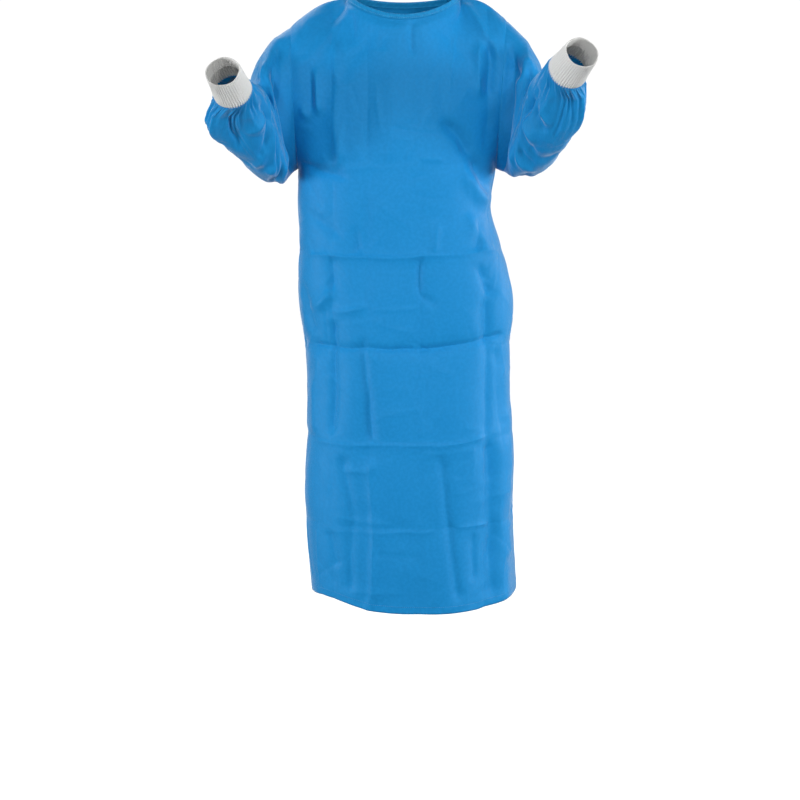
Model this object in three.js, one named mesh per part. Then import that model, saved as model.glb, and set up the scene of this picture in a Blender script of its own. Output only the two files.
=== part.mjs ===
import * as THREE from "three";

// Surgical gown of nonwoven cloth with white knit cuffs, holding the form in which it is worn:
// arms bent, hands raised in front. Millimetres, +Z up, the front faces -Y.
// The origin is the centre of the neck opening, level with its highest points on the shoulders.

// Cloth walls and the gap left where two pieces are sewn together
const CLOTH = 1.6;
const SEAM = 0.3;
const UNDERARM_EASE = 0.65;
const BINDING_WALL = 1.6;
const BINDING_HEIGHT = 9;
const BINDING_LIFT = 0.7;
const TAPE_WALL = 1.2;
const CUFF_WALL = 1.8;
const CUFF_RIB = 0.7;

// Body below the underarms, hem first: side seams, front and back of each level ring
const BODY = [
  { z: -1205, left: -186, right: 233, front: -142, back: 130, rightY: 92 },
  { z: -1100, left: -191, right: 229, front: -144, back: 128, rightY: 70 },
  { z: -970, left: -193, right: 223, front: -143, back: 124, rightY: 42 },
  { z: -806, left: -190, right: 212, front: -140, back: 121, rightY: 20 },
  { z: -700, left: -196, right: 214, front: -137, back: 119, rightY: 8 },
  { z: -600, left: -207, right: 217, front: -133, back: 116, rightY: 4 },
  { z: -522, left: -206, right: 200, front: -130, back: 112, rightY: 0 },
  { z: -443, left: -205, right: 177, front: -128, back: 109, rightY: 0 },
  { z: -400, left: -207, right: 172, front: -129, back: 110, rightY: 0 },
  { z: -340, left: -208, right: 184, front: -131, back: 113, rightY: 0 },
];
const RING_ROUNDNESS = 0.8;

// The hem hangs a little higher at one side: place and width go from -1 at that side seam to 1
const HEM_RISE = { high: 12, at: -0.85, wide: 0.45, from: 0.72 };

// Neck opening at the panels' cut edge, and the shoulder seam
const NECK = { left: -110, right: 112, z: -9, front: -92, frontDrop: 42, back: 68, backDrop: 14 };
const NECK_AXIS = { x: 1, y: -8 };
const NECK_CORNER = 1 / 3;
const SHOULDER_RISE = 14;
const CHEST_RISE_POWER = 2.6;
const TOP_BLEND = 2.6;
const CORNER_SPREAD = 0.32;
const CORNER_SHARES = [[-1, 0.15], [-0.5, 0.2], [0, 0.3], [0.5, 0.2], [1, 0.15]];

// Back halves: how far each runs round the back, and how far they part where they overlap
const BACK_SPAN = { leftEnd: 0.6, rightStart: 0.4, ramp: 0.066, part: 2.4 };

// Sleeves: one row per section from armhole to cuff, each by its outer, front, under and back point
const SLEEVE_LEFT = [
  { outer: [-220, 0, -64], front: [-214, -82, -200], under: [-208, 0, -340], back: [-214, 82, -200] },
  { outer: [-256, -4, -90], front: [-231, -98, -190], under: [-218, -24, -348], back: [-246, 80, -215] },
  { outer: [-282, -14, -123], front: [-245, -112, -192], under: [-224, -50, -355], back: [-271, 64, -247] },
  { outer: [-296, -34, -166], front: [-254, -121, -199], under: [-227, -76, -358], back: [-286, 38, -284] },
  { outer: [-306, -68, -206], front: [-260, -129, -205], under: [-229, -104, -356], back: [-289, -4, -318] },
  { outer: [-320, -112, -228], front: [-266, -150, -200], under: [-230, -134, -338], back: [-285, -64, -342] },
  { outer: [-339, -162, -236], front: [-276, -184, -189], under: [-236, -170, -302], back: [-286, -132, -342] },
  { outer: [-354, -214, -232], front: [-286, -222, -177], under: [-250, -214, -262], back: [-309, -200, -308] },
  { outer: [-361, -258, -220], front: [-294, -256, -165], under: [-265, -256, -225], back: [-334, -252, -272] },
  { outer: [-352, -274, -202], front: [-296, -266, -166], under: [-273, -286, -207], back: [-331, -286, -240] },
];
const SLEEVE_RIGHT = [
  { outer: [203, 0, -52], front: [190, -80, -190], under: [184, 0, -340], back: [192, 82, -195] },
  { outer: [236, -5, -83], front: [208, -96, -180], under: [195, -24, -344], back: [224, 80, -207] },
  { outer: [257, -15, -112], front: [222, -111, -180], under: [202, -50, -345], back: [250, 64, -240] },
  { outer: [271, -34, -150], front: [233, -122, -185], under: [206, -76, -345], back: [266, 38, -278] },
  { outer: [283, -68, -188], front: [241, -131, -190], under: [209, -104, -341], back: [273, -4, -310] },
  { outer: [298, -112, -210], front: [249, -152, -182], under: [213, -134, -318], back: [276, -64, -330] },
  { outer: [313, -162, -216], front: [260, -186, -166], under: [221, -170, -278], back: [280, -132, -328] },
  { outer: [327, -214, -206], front: [271, -224, -148], under: [235, -216, -234], back: [296, -200, -294] },
  { outer: [333, -260, -186], front: [280, -258, -130], under: [251, -260, -193], back: [313, -254, -248] },
  { outer: [331, -276, -164], front: [284, -268, -127], under: [260, -290, -170], back: [314, -288, -207] },
];

// Knit cuffs: centre of the sewn end, the way the forearm points, radius at both ends
const CUFF_LEFT = { at: [-312, -297, -190], along: [-0.21, -0.81, 0.55], wide: 35, narrow: 31, long: 66 };
const CUFF_RIGHT = { at: [300, -297, -153], along: [0.33, -0.8, 0.5], wide: 36, narrow: 31, long: 66 };
const CUFF_RIBS = 32;
const GATHER_STEPS = 3;

// Folds: from (x, z) to (toX, toZ) on the panel, half-width, height (a trough is negative)
const FRONT_FOLDS = [
  { x: -186, z: -502, toX: 176, toZ: -498, wide: 16, high: 2.2 },
  { x: -190, z: -682, toX: 20, toZ: -686, wide: 18, high: 2.6 },
  { x: 20, z: -686, toX: 196, toZ: -664, wide: 18, high: 2.6 },
  { x: -40, z: -870, toX: 168, toZ: -862, wide: 20, high: 1.8 },
  { x: -137, z: -636, toX: -134, toZ: -870, wide: 24, high: -5 },
  { x: -176, z: -612, toX: -137, toZ: -512, wide: 20, high: 4 },
  { x: -72, z: -664, toX: -66, toZ: -872, wide: 22, high: -4 },
  { x: 33, z: -510, toX: 62, toZ: -602, wide: 20, high: -4 },
  { x: 164, z: -590, toX: 164, toZ: -872, wide: 22, high: -7 },
  { x: 168, z: -872, toX: 180, toZ: -1205, wide: 24, high: -9 },
  { x: -66, z: -905, toX: -66, toZ: -1215, wide: 26, high: 6 },
  { x: -112, z: -900, toX: -100, toZ: -1180, wide: 24, high: -6 },
  { x: 72, z: -895, toX: 112, toZ: -1195, wide: 26, high: -4 },
  { x: -128, z: -95, toX: -126, toZ: -330, wide: 22, high: 5 },
  { x: -168, z: -150, toX: -160, toZ: -236, wide: 18, high: -5 },
  { x: 17, z: -60, toX: 14, toZ: -130, wide: 16, high: -3 },
  { x: 148, z: -100, toX: 150, toZ: -200, wide: 20, high: 5 },
  { x: 80, z: -246, toX: 136, toZ: -314, wide: 24, high: -8 },
  { x: 136, z: -314, toX: 166, toZ: -384, wide: 24, high: -9 },
  { x: 112, z: -350, toX: 152, toZ: -450, wide: 26, high: 8 },
  { x: 148, z: -523, toX: 172, toZ: -590, wide: 20, high: -6 },
];
const BACK_FOLDS = [
  { x: -180, z: -500, toX: 176, toZ: -502, wide: 18, high: 2 },
  { x: -184, z: -684, toX: 190, toZ: -680, wide: 18, high: 2.2 },
  { x: -130, z: -560, toX: -146, toZ: -1180, wide: 28, high: 6 },
  { x: 142, z: -560, toX: 160, toZ: -1190, wide: 28, high: 7 },
  { x: -100, z: -600, toX: -96, toZ: -900, wide: 24, high: -5 },
  { x: 110, z: -620, toX: 118, toZ: -1000, wide: 24, high: -5 },
  { x: -140, z: -120, toX: -132, toZ: -360, wide: 24, high: 5 },
  { x: 136, z: -110, toX: 128, toZ: -350, wide: 24, high: 5 },
];

// Waist ties and neck tab on the outside of the back
const TIE = { z: -470, wide: 24, knotAt: 0.5, leftFrom: 0.15, rightFrom: 0.85, ease: 0.35, climbFrom: 0.29, climb: 0.1 };
const TIE_TAIL = { long: 150, narrow: 12, below: 0.1, spread: 22 };
const KNOT = { wide: 15.4, deep: 6.5, high: 14 };
const NECK_TAB = { from: 0.37, to: 0.49, drop: 8, high: 24, lift: 0.6 };

// How finely the cloth is divided
const FRONT_GRID = { across: 36, body: 20, chest: 12 };
const BACK_GRID = { across: 13, body: 20, chest: 12 };
const SLEEVE_GRID = { around: 24, along: 20 };

// Rows at which a long cloth, uncut in itself, is parted into nodes: lowest row, highest row
const PANEL_STRETCHES = [
  { part: "skirt", from: 0, to: 12 },
  { part: "waist", from: 12, to: 19 },
  { part: "chest", from: 19, to: 32 },
];
const SLEEVE_STRETCHES = [
  { part: "shoulder", from: 0, to: 4 },
  { part: "upper", from: 4, to: 8 },
  { part: "elbow", from: 8, to: 13 },
  { part: "fore", from: 13, to: 23 },
];

const mix = (a, b, t) => a + (b - a) * t;
const clamp01 = (t) => Math.min(1, Math.max(0, t));
const ease = (t) => clamp01(t) ** 2 * (3 - 2 * clamp01(t));
const vector = (list) => new THREE.Vector3(...list);

// Smooth curve through four equally spaced values
function through(a, b, c, d, t) {
  const rise = (c - a) / 2;
  const next = (d - b) / 2;
  const square = t * t;
  const cube = square * t;
  return (2 * cube - 3 * square + 1) * b + (cube - 2 * square + t) * rise
    + (3 * square - 2 * cube) * c + (cube - square) * next;
}

// A column of a table at a height, with the rows' own spacing
function bodyAt(z, column) {
  const last = BODY.length - 1;
  let row = 0;
  while (row < last - 1 && z > BODY[row + 1].z) row += 1;
  const slope = (i) => {
    const low = BODY[Math.max(0, i - 1)];
    const high = BODY[Math.min(last, i + 1)];
    return (high[column] - low[column]) / (high.z - low.z);
  };
  const a = BODY[row];
  const b = BODY[row + 1];
  const step = b.z - a.z;
  const t = (z - a.z) / step;
  return (2 * t ** 3 - 3 * t ** 2 + 1) * a[column] + (t ** 3 - 2 * t ** 2 + t) * step * slope(row)
    + (3 * t ** 2 - 2 * t ** 3) * b[column] + (t ** 3 - t ** 2) * step * slope(row + 1);
}

// Point of a ring given by its outer, front, under and back points
function ringPoint(row, angle) {
  const at = (i) => {
    const middle = (row.outer[i] + row.front[i] + row.under[i] + row.back[i]) / 4;
    const outward = (row.outer[i] - row.under[i]) / 2;
    const forward = (row.front[i] - row.back[i]) / 2;
    const squash = (row.outer[i] + row.under[i] - row.front[i] - row.back[i]) / 4;
    return middle + outward * Math.cos(angle) + forward * Math.sin(angle) + squash * Math.cos(2 * angle);
  };
  return new THREE.Vector3(at(0), at(1), at(2));
}

// Front half of the neck edge (side -1) or back half (side 1), corner to corner
function neckEdge(turn, side) {
  const angle = Math.PI * turn;
  const middle = (NECK.left + NECK.right) / 2;
  const half = (NECK.right - NECK.left) / 2;
  const deep = Math.max(0, Math.sin(angle));
  const reach = side < 0 ? NECK.front : NECK.back;
  const drop = side < 0 ? NECK.frontDrop : NECK.backDrop;
  return new THREE.Vector3(middle - half * Math.cos(angle), reach * deep, NECK.z - drop * deep ** 1.6);
}

// Shoulder seam from the armhole (0) to the neck (1)
function shoulderSeam(along, sleeve, neckX) {
  const start = vector(sleeve[0].outer);
  const end = new THREE.Vector3(neckX, 0, NECK.z);
  const point = start.lerp(end, along);
  point.z += SHOULDER_RISE * Math.sin(Math.PI * along);
  return point;
}

// Top edge of the front or back: shoulder seam, neck edge, shoulder seam
function topEdge(turn, side) {
  if (turn < NECK_CORNER) return shoulderSeam(turn / NECK_CORNER, SLEEVE_LEFT, NECK.left);
  if (turn > 1 - NECK_CORNER) return shoulderSeam((1 - turn) / NECK_CORNER, SLEEVE_RIGHT, NECK.right);
  return neckEdge((turn - NECK_CORNER) / (1 - 2 * NECK_CORNER), side);
}

// Plain arch from one shoulder end to the other, from which the top edge is lifted
function flatTop(turn, reach, drop) {
  const bulge = Math.max(0, Math.sin(Math.PI * turn)) ** 2;
  const point = vector(SLEEVE_LEFT[0].outer).lerp(vector(SLEEVE_RIGHT[0].outer), (1 - Math.cos(Math.PI * turn)) / 2);
  point.y = mix(point.y, reach, bulge);
  point.z = mix(point.z, NECK.z - drop, bulge);
  return point;
}

// Cloth round the body: turn 0 is the image-left seam, 1 the image-right seam;
// rise -1 is the hem, 0 the underarm, 1 the shoulder and neck; side -1 front, 1 back
function bodyPoint(turn, rise, side) {
  const angle = Math.PI * turn;
  const across = -Math.cos(angle);
  const bulge = Math.max(0, Math.sin(angle));
  const round = (value, power) => Math.sign(value) * Math.abs(value) ** power;
  const under = BODY[BODY.length - 1];
  const face = side < 0 ? "front" : "back";
  if (rise <= 0) {
    const z = mix(under.z, BODY[0].z, -rise);
    const left = bodyAt(z, "left");
    const right = bodyAt(z, "right");
    const sideY = bodyAt(z, "rightY") * clamp01(turn);
    const x = mix(left, right, (1 + round(across, RING_ROUNDNESS)) / 2);
    const y = mix(sideY, bodyAt(z, face), bulge ** RING_ROUNDNESS);
    const corner = Math.exp(-(((across - HEM_RISE.at) / HEM_RISE.wide) ** 2));
    const low = ease((-rise - HEM_RISE.from) / (1 - HEM_RISE.from));
    return new THREE.Vector3(x, y, z + HEM_RISE.high * corner * low);
  }
  const loop = side < 0 ? Math.PI * (1 - rise) : Math.PI * (1 + rise);
  const left = ringPoint(SLEEVE_LEFT[0], loop);
  const right = ringPoint(SLEEVE_RIGHT[0], loop);
  const flat = ease(rise / 0.45);
  const reach = side < 0 ? NECK.front : NECK.back;
  const drop = side < 0 ? NECK.frontDrop : NECK.backDrop;
  const shape = (t) => {
    const open = mix(RING_ROUNDNESS, 1, flat);
    const curve = mix(RING_ROUNDNESS, 2, flat);
    const middleY = mix(under[face], reach, t ** CHEST_RISE_POWER);
    const middleZ = mix(under.z, NECK.z - drop, t);
    const span = (1 + round(across, open)) / 2;
    const edge = left.clone().lerp(right, span);
    return new THREE.Vector3(edge.x, mix(edge.y, middleY, bulge ** curve), mix(edge.z, middleZ, bulge ** 2));
  };
  const point = shape(rise);
  const lift = new THREE.Vector3();
  const spread = CORNER_SPREAD * (1 - rise);
  for (const [step, share] of CORNER_SHARES) {
    const near = clamp01(turn + step * spread);
    lift.addScaledVector(topEdge(near, side).sub(flatTop(near, reach, drop)), share);
  }
  return point.addScaledVector(lift, rise ** TOP_BLEND);
}

// Height that the folds of a table add at a place on the panel
function foldHeight(folds, x, z) {
  let height = 0;
  for (const fold of folds) {
    const alongX = fold.toX - fold.x;
    const alongZ = fold.toZ - fold.z;
    const length = Math.hypot(alongX, alongZ);
    const along = ((x - fold.x) * alongX + (z - fold.z) * alongZ) / length;
    const away = Math.abs((x - fold.x) * alongZ - (z - fold.z) * alongX) / length;
    const ends = ease((along + fold.wide) / (2 * fold.wide)) * ease((length + fold.wide - along) / (2 * fold.wide));
    height += fold.high * ends * Math.exp(-((away / fold.wide) ** 2));
  }
  return height;
}

// Outward direction of a grid of points at one of them
function gridNormal(grid, i, j, closed, outward) {
  const count = grid[0].length;
  const last = grid.length - 1;
  const before = closed ? (i + count - 1) % count : Math.max(0, i - 1);
  const after = closed ? (i + 1) % count : Math.min(count - 1, i + 1);
  const across = grid[j][after].clone().sub(grid[j][before]);
  const up = grid[Math.min(last, j + 1)][i].clone().sub(grid[Math.max(0, j - 1)][i]);
  return across.cross(up).normalize().multiplyScalar(outward);
}

// Points of a grid moved along its outward direction by height(i, j)
function moved(grid, closed, outward, height) {
  return grid.map((row, j) => row.map((point, i) =>
    point.clone().addScaledVector(gridNormal(grid, i, j, closed, outward), height(i, j, point))));
}

// Closed wall between the outer and the inner grid
function wallBetween(outer, inner, closed) {
  const rows = outer.length;
  const count = outer[0].length;
  const positions = [...outer.flat(), ...inner.flat()].flatMap((point) => [point.x, point.y, point.z]);
  const indices = [];
  const index = (layer, j, i) => layer * rows * count + j * count + (i % count);
  const quad = (a, b, c, d) => indices.push(a, b, c, a, c, d);
  const spans = closed ? count : count - 1;
  for (let j = 0; j < rows - 1; j += 1) {
    for (let i = 0; i < spans; i += 1) {
      quad(index(0, j, i), index(0, j, i + 1), index(0, j + 1, i + 1), index(0, j + 1, i));
      quad(index(1, j, i), index(1, j + 1, i), index(1, j + 1, i + 1), index(1, j, i + 1));
    }
  }
  for (let i = 0; i < spans; i += 1) {
    quad(index(0, 0, i), index(1, 0, i), index(1, 0, i + 1), index(0, 0, i + 1));
    quad(index(0, rows - 1, i), index(0, rows - 1, i + 1), index(1, rows - 1, i + 1), index(1, rows - 1, i));
  }
  if (!closed) {
    for (let j = 0; j < rows - 1; j += 1) {
      quad(index(0, j + 1, 0), index(1, j + 1, 0), index(1, j, 0), index(0, j, 0));
      const end = count - 1;
      quad(index(0, j, end), index(1, j, end), index(1, j + 1, end), index(0, j + 1, end));
    }
  }
  const at = (i) => new THREE.Vector3().fromArray(positions, 3 * i);
  let volume = 0;
  for (let k = 0; k < indices.length; k += 3) {
    volume += at(indices[k]).dot(at(indices[k + 1]).cross(at(indices[k + 2])));
  }
  if (volume < 0) indices.reverse();
  const geometry = new THREE.BufferGeometry();
  geometry.setAttribute("position", new THREE.Float32BufferAttribute(positions, 3));
  geometry.setIndex(indices);
  geometry.computeVertexNormals();
  return geometry;
}

// Outer and inner points about a grid; atSeam may turn the direction at an edge
function wallLayers(grid, closed, outward, thickness, atSeam = (normal) => normal, raised = () => 0) {
  const normals = grid.map((row, j) => row.map((point, i) =>
    atSeam(gridNormal(grid, i, j, closed, outward), i, j).normalize()));
  const layer = (height) => grid.map((row, j) => row.map((point, i) =>
    point.clone().addScaledVector(normals[j][i], height(i, j))));
  return [layer((i, j) => thickness / 2 + raised(i, j)), layer(() => -thickness / 2)];
}

// Wall of even thickness about a grid
function wallAbout(grid, closed, ...rest) {
  return wallBetween(...wallLayers(grid, closed, ...rest), closed);
}

// Stretch of a wall from one row to another, shortened where it meets the next stretch
function wallStretch(layers, from, to, closed) {
  const shortened = (layer, row, toward) => layer[row].map((point, i) => {
    const next = layer[toward][i];
    return point.clone().lerp(next, SEAM / 2 / point.distanceTo(next));
  });
  const stretch = layers.map((layer) => {
    const rows = layer.slice(from, to + 1);
    if (from > 0) rows[0] = shortened(layer, from, from + 1);
    if (to < layer.length - 1) rows[rows.length - 1] = shortened(layer, to, to - 1);
    return rows;
  });
  return wallBetween(...stretch, closed);
}

// Armhole seam at a loop angle: the direction in which both edge faces lie, and the way to the sleeve
function armholeSeam(table, loop) {
  const hand = Math.sign(table[0].outer[0]);
  const step = 0.01;
  const next = sleeveRow(table, step);
  const round = ringPoint(table[0], loop + step).sub(ringPoint(table[0], loop - step)).normalize();
  const toSleeve = ringPoint(next, loop).sub(ringPoint(table[0], loop)).normalize();
  const sleeveOut = round.clone().cross(toSleeve).multiplyScalar(hand).normalize();
  const angle = loop % (2 * Math.PI);
  const side = angle < Math.PI ? -1 : 1;
  const rise = Math.max(step, side < 0 ? 1 - angle / Math.PI : angle / Math.PI - 1);
  const edge = hand < 0 ? 0 : 1;
  const within = hand < 0 ? 0.03 : 0.97;
  const toPanel = bodyPoint(within, rise, side).sub(bodyPoint(edge, rise, side)).normalize();
  const panelOut = toPanel.cross(round).multiplyScalar(hand).normalize();
  const normal = sleeveOut.add(panelOut).normalize();
  const toward = normal.clone().cross(round).normalize();
  if (toward.dot(toSleeve) < 0) toward.negate();
  return { normal, toward };
}

const cloth = () => new THREE.MeshStandardMaterial({ color: 0x1f86c0, roughness: 0.78, metalness: 0 });
const knit = () => new THREE.MeshStandardMaterial({ color: 0xe6e9ea, roughness: 0.9, metalness: 0 });

const group = new THREE.Group();
group.name = "surgical_gown";

function add(name, geometry, material) {
  const mesh = new THREE.Mesh(geometry, material);
  mesh.name = name;
  group.add(mesh);
}

// Heights of a panel's rows: body rows from the hem, then chest rows to the shoulder
function riseRows(divisions) {
  const rows = [];
  for (let j = 0; j < divisions.body; j += 1) rows.push(-1 + j / divisions.body);
  for (let j = 0; j <= divisions.chest; j += 1) rows.push(j / divisions.chest);
  return rows;
}

// Where a piece meets its neighbour over a seam, its edge face lies in the seam
const onShoulder = (turn) => turn < NECK_CORNER + 0.001 || turn > 1 - NECK_CORNER - 0.001;
function seamNormal(normal, turn, rise, side) {
  const sideEdge = turn < 0.001 || turn > 0.999;
  const atShoulder = rise > 0.999 && onShoulder(turn);
  if (sideEdge && rise > -0.001) {
    const loop = side < 0 ? Math.PI * (1 - rise) : Math.PI * (1 + rise);
    normal.copy(armholeSeam(turn < 0.5 ? SLEEVE_LEFT : SLEEVE_RIGHT, loop).normal);
  }
  if ((sideEdge && rise < 0.001) || atShoulder) normal.setY(0);
  return normal;
}

// Front panel
function frontGrid() {
  const rises = riseRows(FRONT_GRID);
  const turns = Array.from({ length: FRONT_GRID.across + 1 }, (_, i) => i / FRONT_GRID.across);
  const plain = rises.map((rise) => turns.map((turn) => {
    const point = bodyPoint(turn, rise, -1);
    point.y -= SEAM / 2;
    return point;
  }));
  const last = FRONT_GRID.across;
  const grid = moved(plain, false, 1, (i, j, point) => {
    const fromEdge = ease(Math.min(i, last - i) / 3) * ease((rises.length - 1 - j) / 2);
    return foldHeight(FRONT_FOLDS, point.x, point.z) * fromEdge;
  });
  return { grid, rises, turns };
}

// One cloth as several nodes, each a stretch of its wall that is nearly straight
function addStretches(name, stretches, layers, closed) {
  for (const { part, from, to } of stretches) {
    add(`${name}_${part}`, wallStretch(layers, from, to, closed), cloth());
  }
}

// A panel's wall, with its edge faces lying in the seams
function addPanel(name, { grid, rises, turns }, side) {
  const seam = (normal, i, j) => seamNormal(normal, turns[i], rises[j], side);
  addStretches(name, PANEL_STRETCHES, wallLayers(grid, false, -side, CLOTH, seam), false);
}
const frontCloth = frontGrid();
addPanel("front_panel", frontCloth, -1);

// Back halves, parted where they lie over each other
function backPush(turn, half) {
  const { leftEnd, rightStart, ramp, part } = BACK_SPAN;
  if (half < 0) return -part * ease((turn - rightStart + ramp) / ramp);
  return part * ease((leftEnd + ramp - turn) / ramp);
}
function backGrid(half) {
  const rises = riseRows(BACK_GRID);
  const from = half < 0 ? 0 : BACK_SPAN.rightStart;
  const to = half < 0 ? BACK_SPAN.leftEnd : 1;
  const corner = half < 0 ? NECK_CORNER : 1 - NECK_CORNER;
  const outside = Math.round(BACK_GRID.across * Math.abs(corner - (half < 0 ? from : to)) / (to - from));
  const turns = Array.from({ length: BACK_GRID.across + 1 }, (_, i) => {
    const k = half < 0 ? i : BACK_GRID.across - i;
    const shoulder = k <= outside;
    const t = shoulder ? k / outside : (k - outside) / (BACK_GRID.across - outside);
    const near = half < 0 ? from : to;
    const far = half < 0 ? to : from;
    return shoulder ? mix(near, corner, t) : mix(corner, far, t);
  });
  const plain = rises.map((rise) => turns.map((turn) => {
    const point = bodyPoint(turn, rise, 1);
    point.y += SEAM / 2;
    return point;
  }));
  const grid = moved(plain, false, -1, (i, j, point) => {
    const fromEdge = ease(Math.min(turns[i], 1 - turns[i]) * 12) * ease((rises.length - 1 - j) / 2);
    return foldHeight(BACK_FOLDS, point.x, point.z) * fromEdge + backPush(turns[i], half);
  });
  return { grid, rises, turns };
}
const leftBack = backGrid(-1);
const rightBack = backGrid(1);
addPanel("back_left", leftBack, 1);
addPanel("back_right", rightBack, 1);

// Knit cuff directions: a ring square to the forearm
function cuffFrame(cuff) {
  const along = vector(cuff.along).normalize();
  const side = new THREE.Vector3(Math.sign(cuff.at[0]), 0, 0);
  const outer = side.addScaledVector(along, -side.dot(along)).normalize();
  const top = new THREE.Vector3().crossVectors(outer, along).normalize();
  if (top.z < 0) top.negate();
  return { along, outer, top };
}
function cuffRing(cuff, distance, radius, angle) {
  const { along, outer, top } = cuffFrame(cuff);
  return vector(cuff.at).addScaledVector(along, distance)
    .addScaledVector(outer, radius * Math.cos(angle)).addScaledVector(top, radius * Math.sin(angle));
}

// Sleeve section at a place along it: 0 the armhole, 1 the last row before the gathers
function sleeveRow(table, along) {
  const place = clamp01(along) * (table.length - 1);
  const row = Math.min(table.length - 2, Math.floor(place));
  const t = place - row;
  const pick = (k) => table[Math.min(table.length - 1, Math.max(0, k))];
  const value = (name) => [0, 1, 2].map((i) => through(
    pick(row - 1)[name][i], pick(row)[name][i], pick(row + 1)[name][i], pick(row + 2)[name][i], t));
  return { outer: value("outer"), front: value("front"), under: value("under"), back: value("back") };
}

// Sleeve: armhole loop, bent tube, then gathers drawn in to the cuff
function sleeveGrid(table, cuff) {
  const { around, along } = SLEEVE_GRID;
  const angles = Array.from({ length: around }, (_, i) => (2 * Math.PI * i) / around);
  const grid = [];
  for (let j = 0; j <= along; j += 1) {
    const row = sleeveRow(table, j / along);
    grid.push(angles.map((angle) => ringPoint(row, angle)));
  }
  const last = grid[along];
  grid[0] = grid[0].map((point, i) => {
    const corner = UNDERARM_EASE * clamp01(-Math.cos(angles[i])) ** 4;
    return point.addScaledVector(armholeSeam(table, angles[i]).toward, SEAM + corner);
  });
  for (let k = 1; k <= GATHER_STEPS; k += 1) {
    const t = k / GATHER_STEPS;
    grid.push(angles.map((angle, i) => {
      const end = cuffRing(cuff, -SEAM, cuff.wide, angle);
      return last[i].clone().lerp(end, t);
    }));
  }
  return grid;
}
for (const [name, table, cuff, outward] of [
  ["sleeve_left", SLEEVE_LEFT, CUFF_LEFT, -1],
  ["sleeve_right", SLEEVE_RIGHT, CUFF_RIGHT, 1],
]) {
  const grid = sleeveGrid(table, cuff);
  const { along } = cuffFrame(cuff);
  const seam = (normal, i, j) => {
    if (j === grid.length - 1) normal.addScaledVector(along, -normal.dot(along));
    if (j === 0) normal.copy(armholeSeam(table, (2 * Math.PI * i) / SLEEVE_GRID.around).normal);
    return normal;
  };
  addStretches(name, SLEEVE_STRETCHES, wallLayers(grid, true, outward, CLOTH, seam), true);
}

// Knit cuffs with ribs raised on the outside
for (const [name, cuff, outward] of [["cuff_left", CUFF_LEFT, -1], ["cuff_right", CUFF_RIGHT, 1]]) {
  const around = 2 * CUFF_RIBS;
  const grid = [0, 0.34, 0.67, 1].map((t) => Array.from({ length: around }, (_, i) =>
    cuffRing(cuff, SEAM / 2 + t * cuff.long, mix(cuff.wide, cuff.narrow, t), (2 * Math.PI * i) / around)));
  const { along } = cuffFrame(cuff);
  const square = (normal) => normal.addScaledVector(along, -normal.dot(along));
  const rib = (i) => (i % 2 ? 0 : CUFF_RIB);
  add(name, wallAbout(grid, true, outward, CUFF_WALL, square, rib), knit());
}

// Neck binding: a strip standing on the neck edge, its two ends parted at the back
{
  const neckOf = (grid, turns) => grid[grid.length - 1]
    .filter((point, i) => turns[i] > NECK_CORNER - 0.001 && turns[i] < 1 - NECK_CORNER + 0.001);
  const left = neckOf(leftBack.grid, leftBack.turns).reverse();
  const right = neckOf(rightBack.grid, rightBack.turns).reverse();
  const front = neckOf(frontCloth.grid, frontCloth.turns).slice(1, -1);
  const path = [...left, ...front, ...right];
  const grid = [0, 0.5, 1].map((t) => path.map((point) => {
    const out = new THREE.Vector3(point.x - NECK_AXIS.x, point.y - NECK_AXIS.y, 0).normalize();
    const rise = new THREE.Vector3(0, 0, 0.92).addScaledVector(out, -0.39).normalize();
    return point.clone().addScaledVector(rise, BINDING_LIFT + t * BINDING_HEIGHT);
  }));
  add("neck_binding", wallAbout(grid, false, 1, BINDING_WALL), cloth());
}

// Point on a back half's own cloth at a turn and a height, lifted off it
function backOutside(half, turn, z, lift) {
  const { grid, turns } = half;
  const column = turns.findIndex((value, i) => i + 1 < turns.length && (value - turn) * (turns[i + 1] - turn) <= 0);
  const share = (turn - turns[column]) / (turns[column + 1] - turns[column]);
  const place = (i) => {
    const row = grid.findIndex((points, j) => j + 1 < grid.length && grid[j + 1][i].z >= z);
    const t = (z - grid[row][i].z) / (grid[row + 1][i].z - grid[row][i].z);
    const low = gridNormal(grid, i, row, false, -1);
    const high = gridNormal(grid, i, row + 1, false, -1);
    return { point: grid[row][i].clone().lerp(grid[row + 1][i], t), normal: low.lerp(high, t) };
  };
  const near = place(column);
  const far = place(column + 1);
  return near.point.lerp(far.point, share).addScaledVector(near.normal.lerp(far.normal, share).normalize(), lift);
}

// Turn round the body at which a level ring passes a given x
function turnAtX(x, z) {
  const span = bodyAt(z, "right") - bodyAt(z, "left");
  const share = (2 * (x - bodyAt(z, "left"))) / span - 1;
  return Math.acos(-Math.sign(share) * Math.abs(share) ** (1 / RING_ROUNDNESS)) / Math.PI;
}

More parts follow.
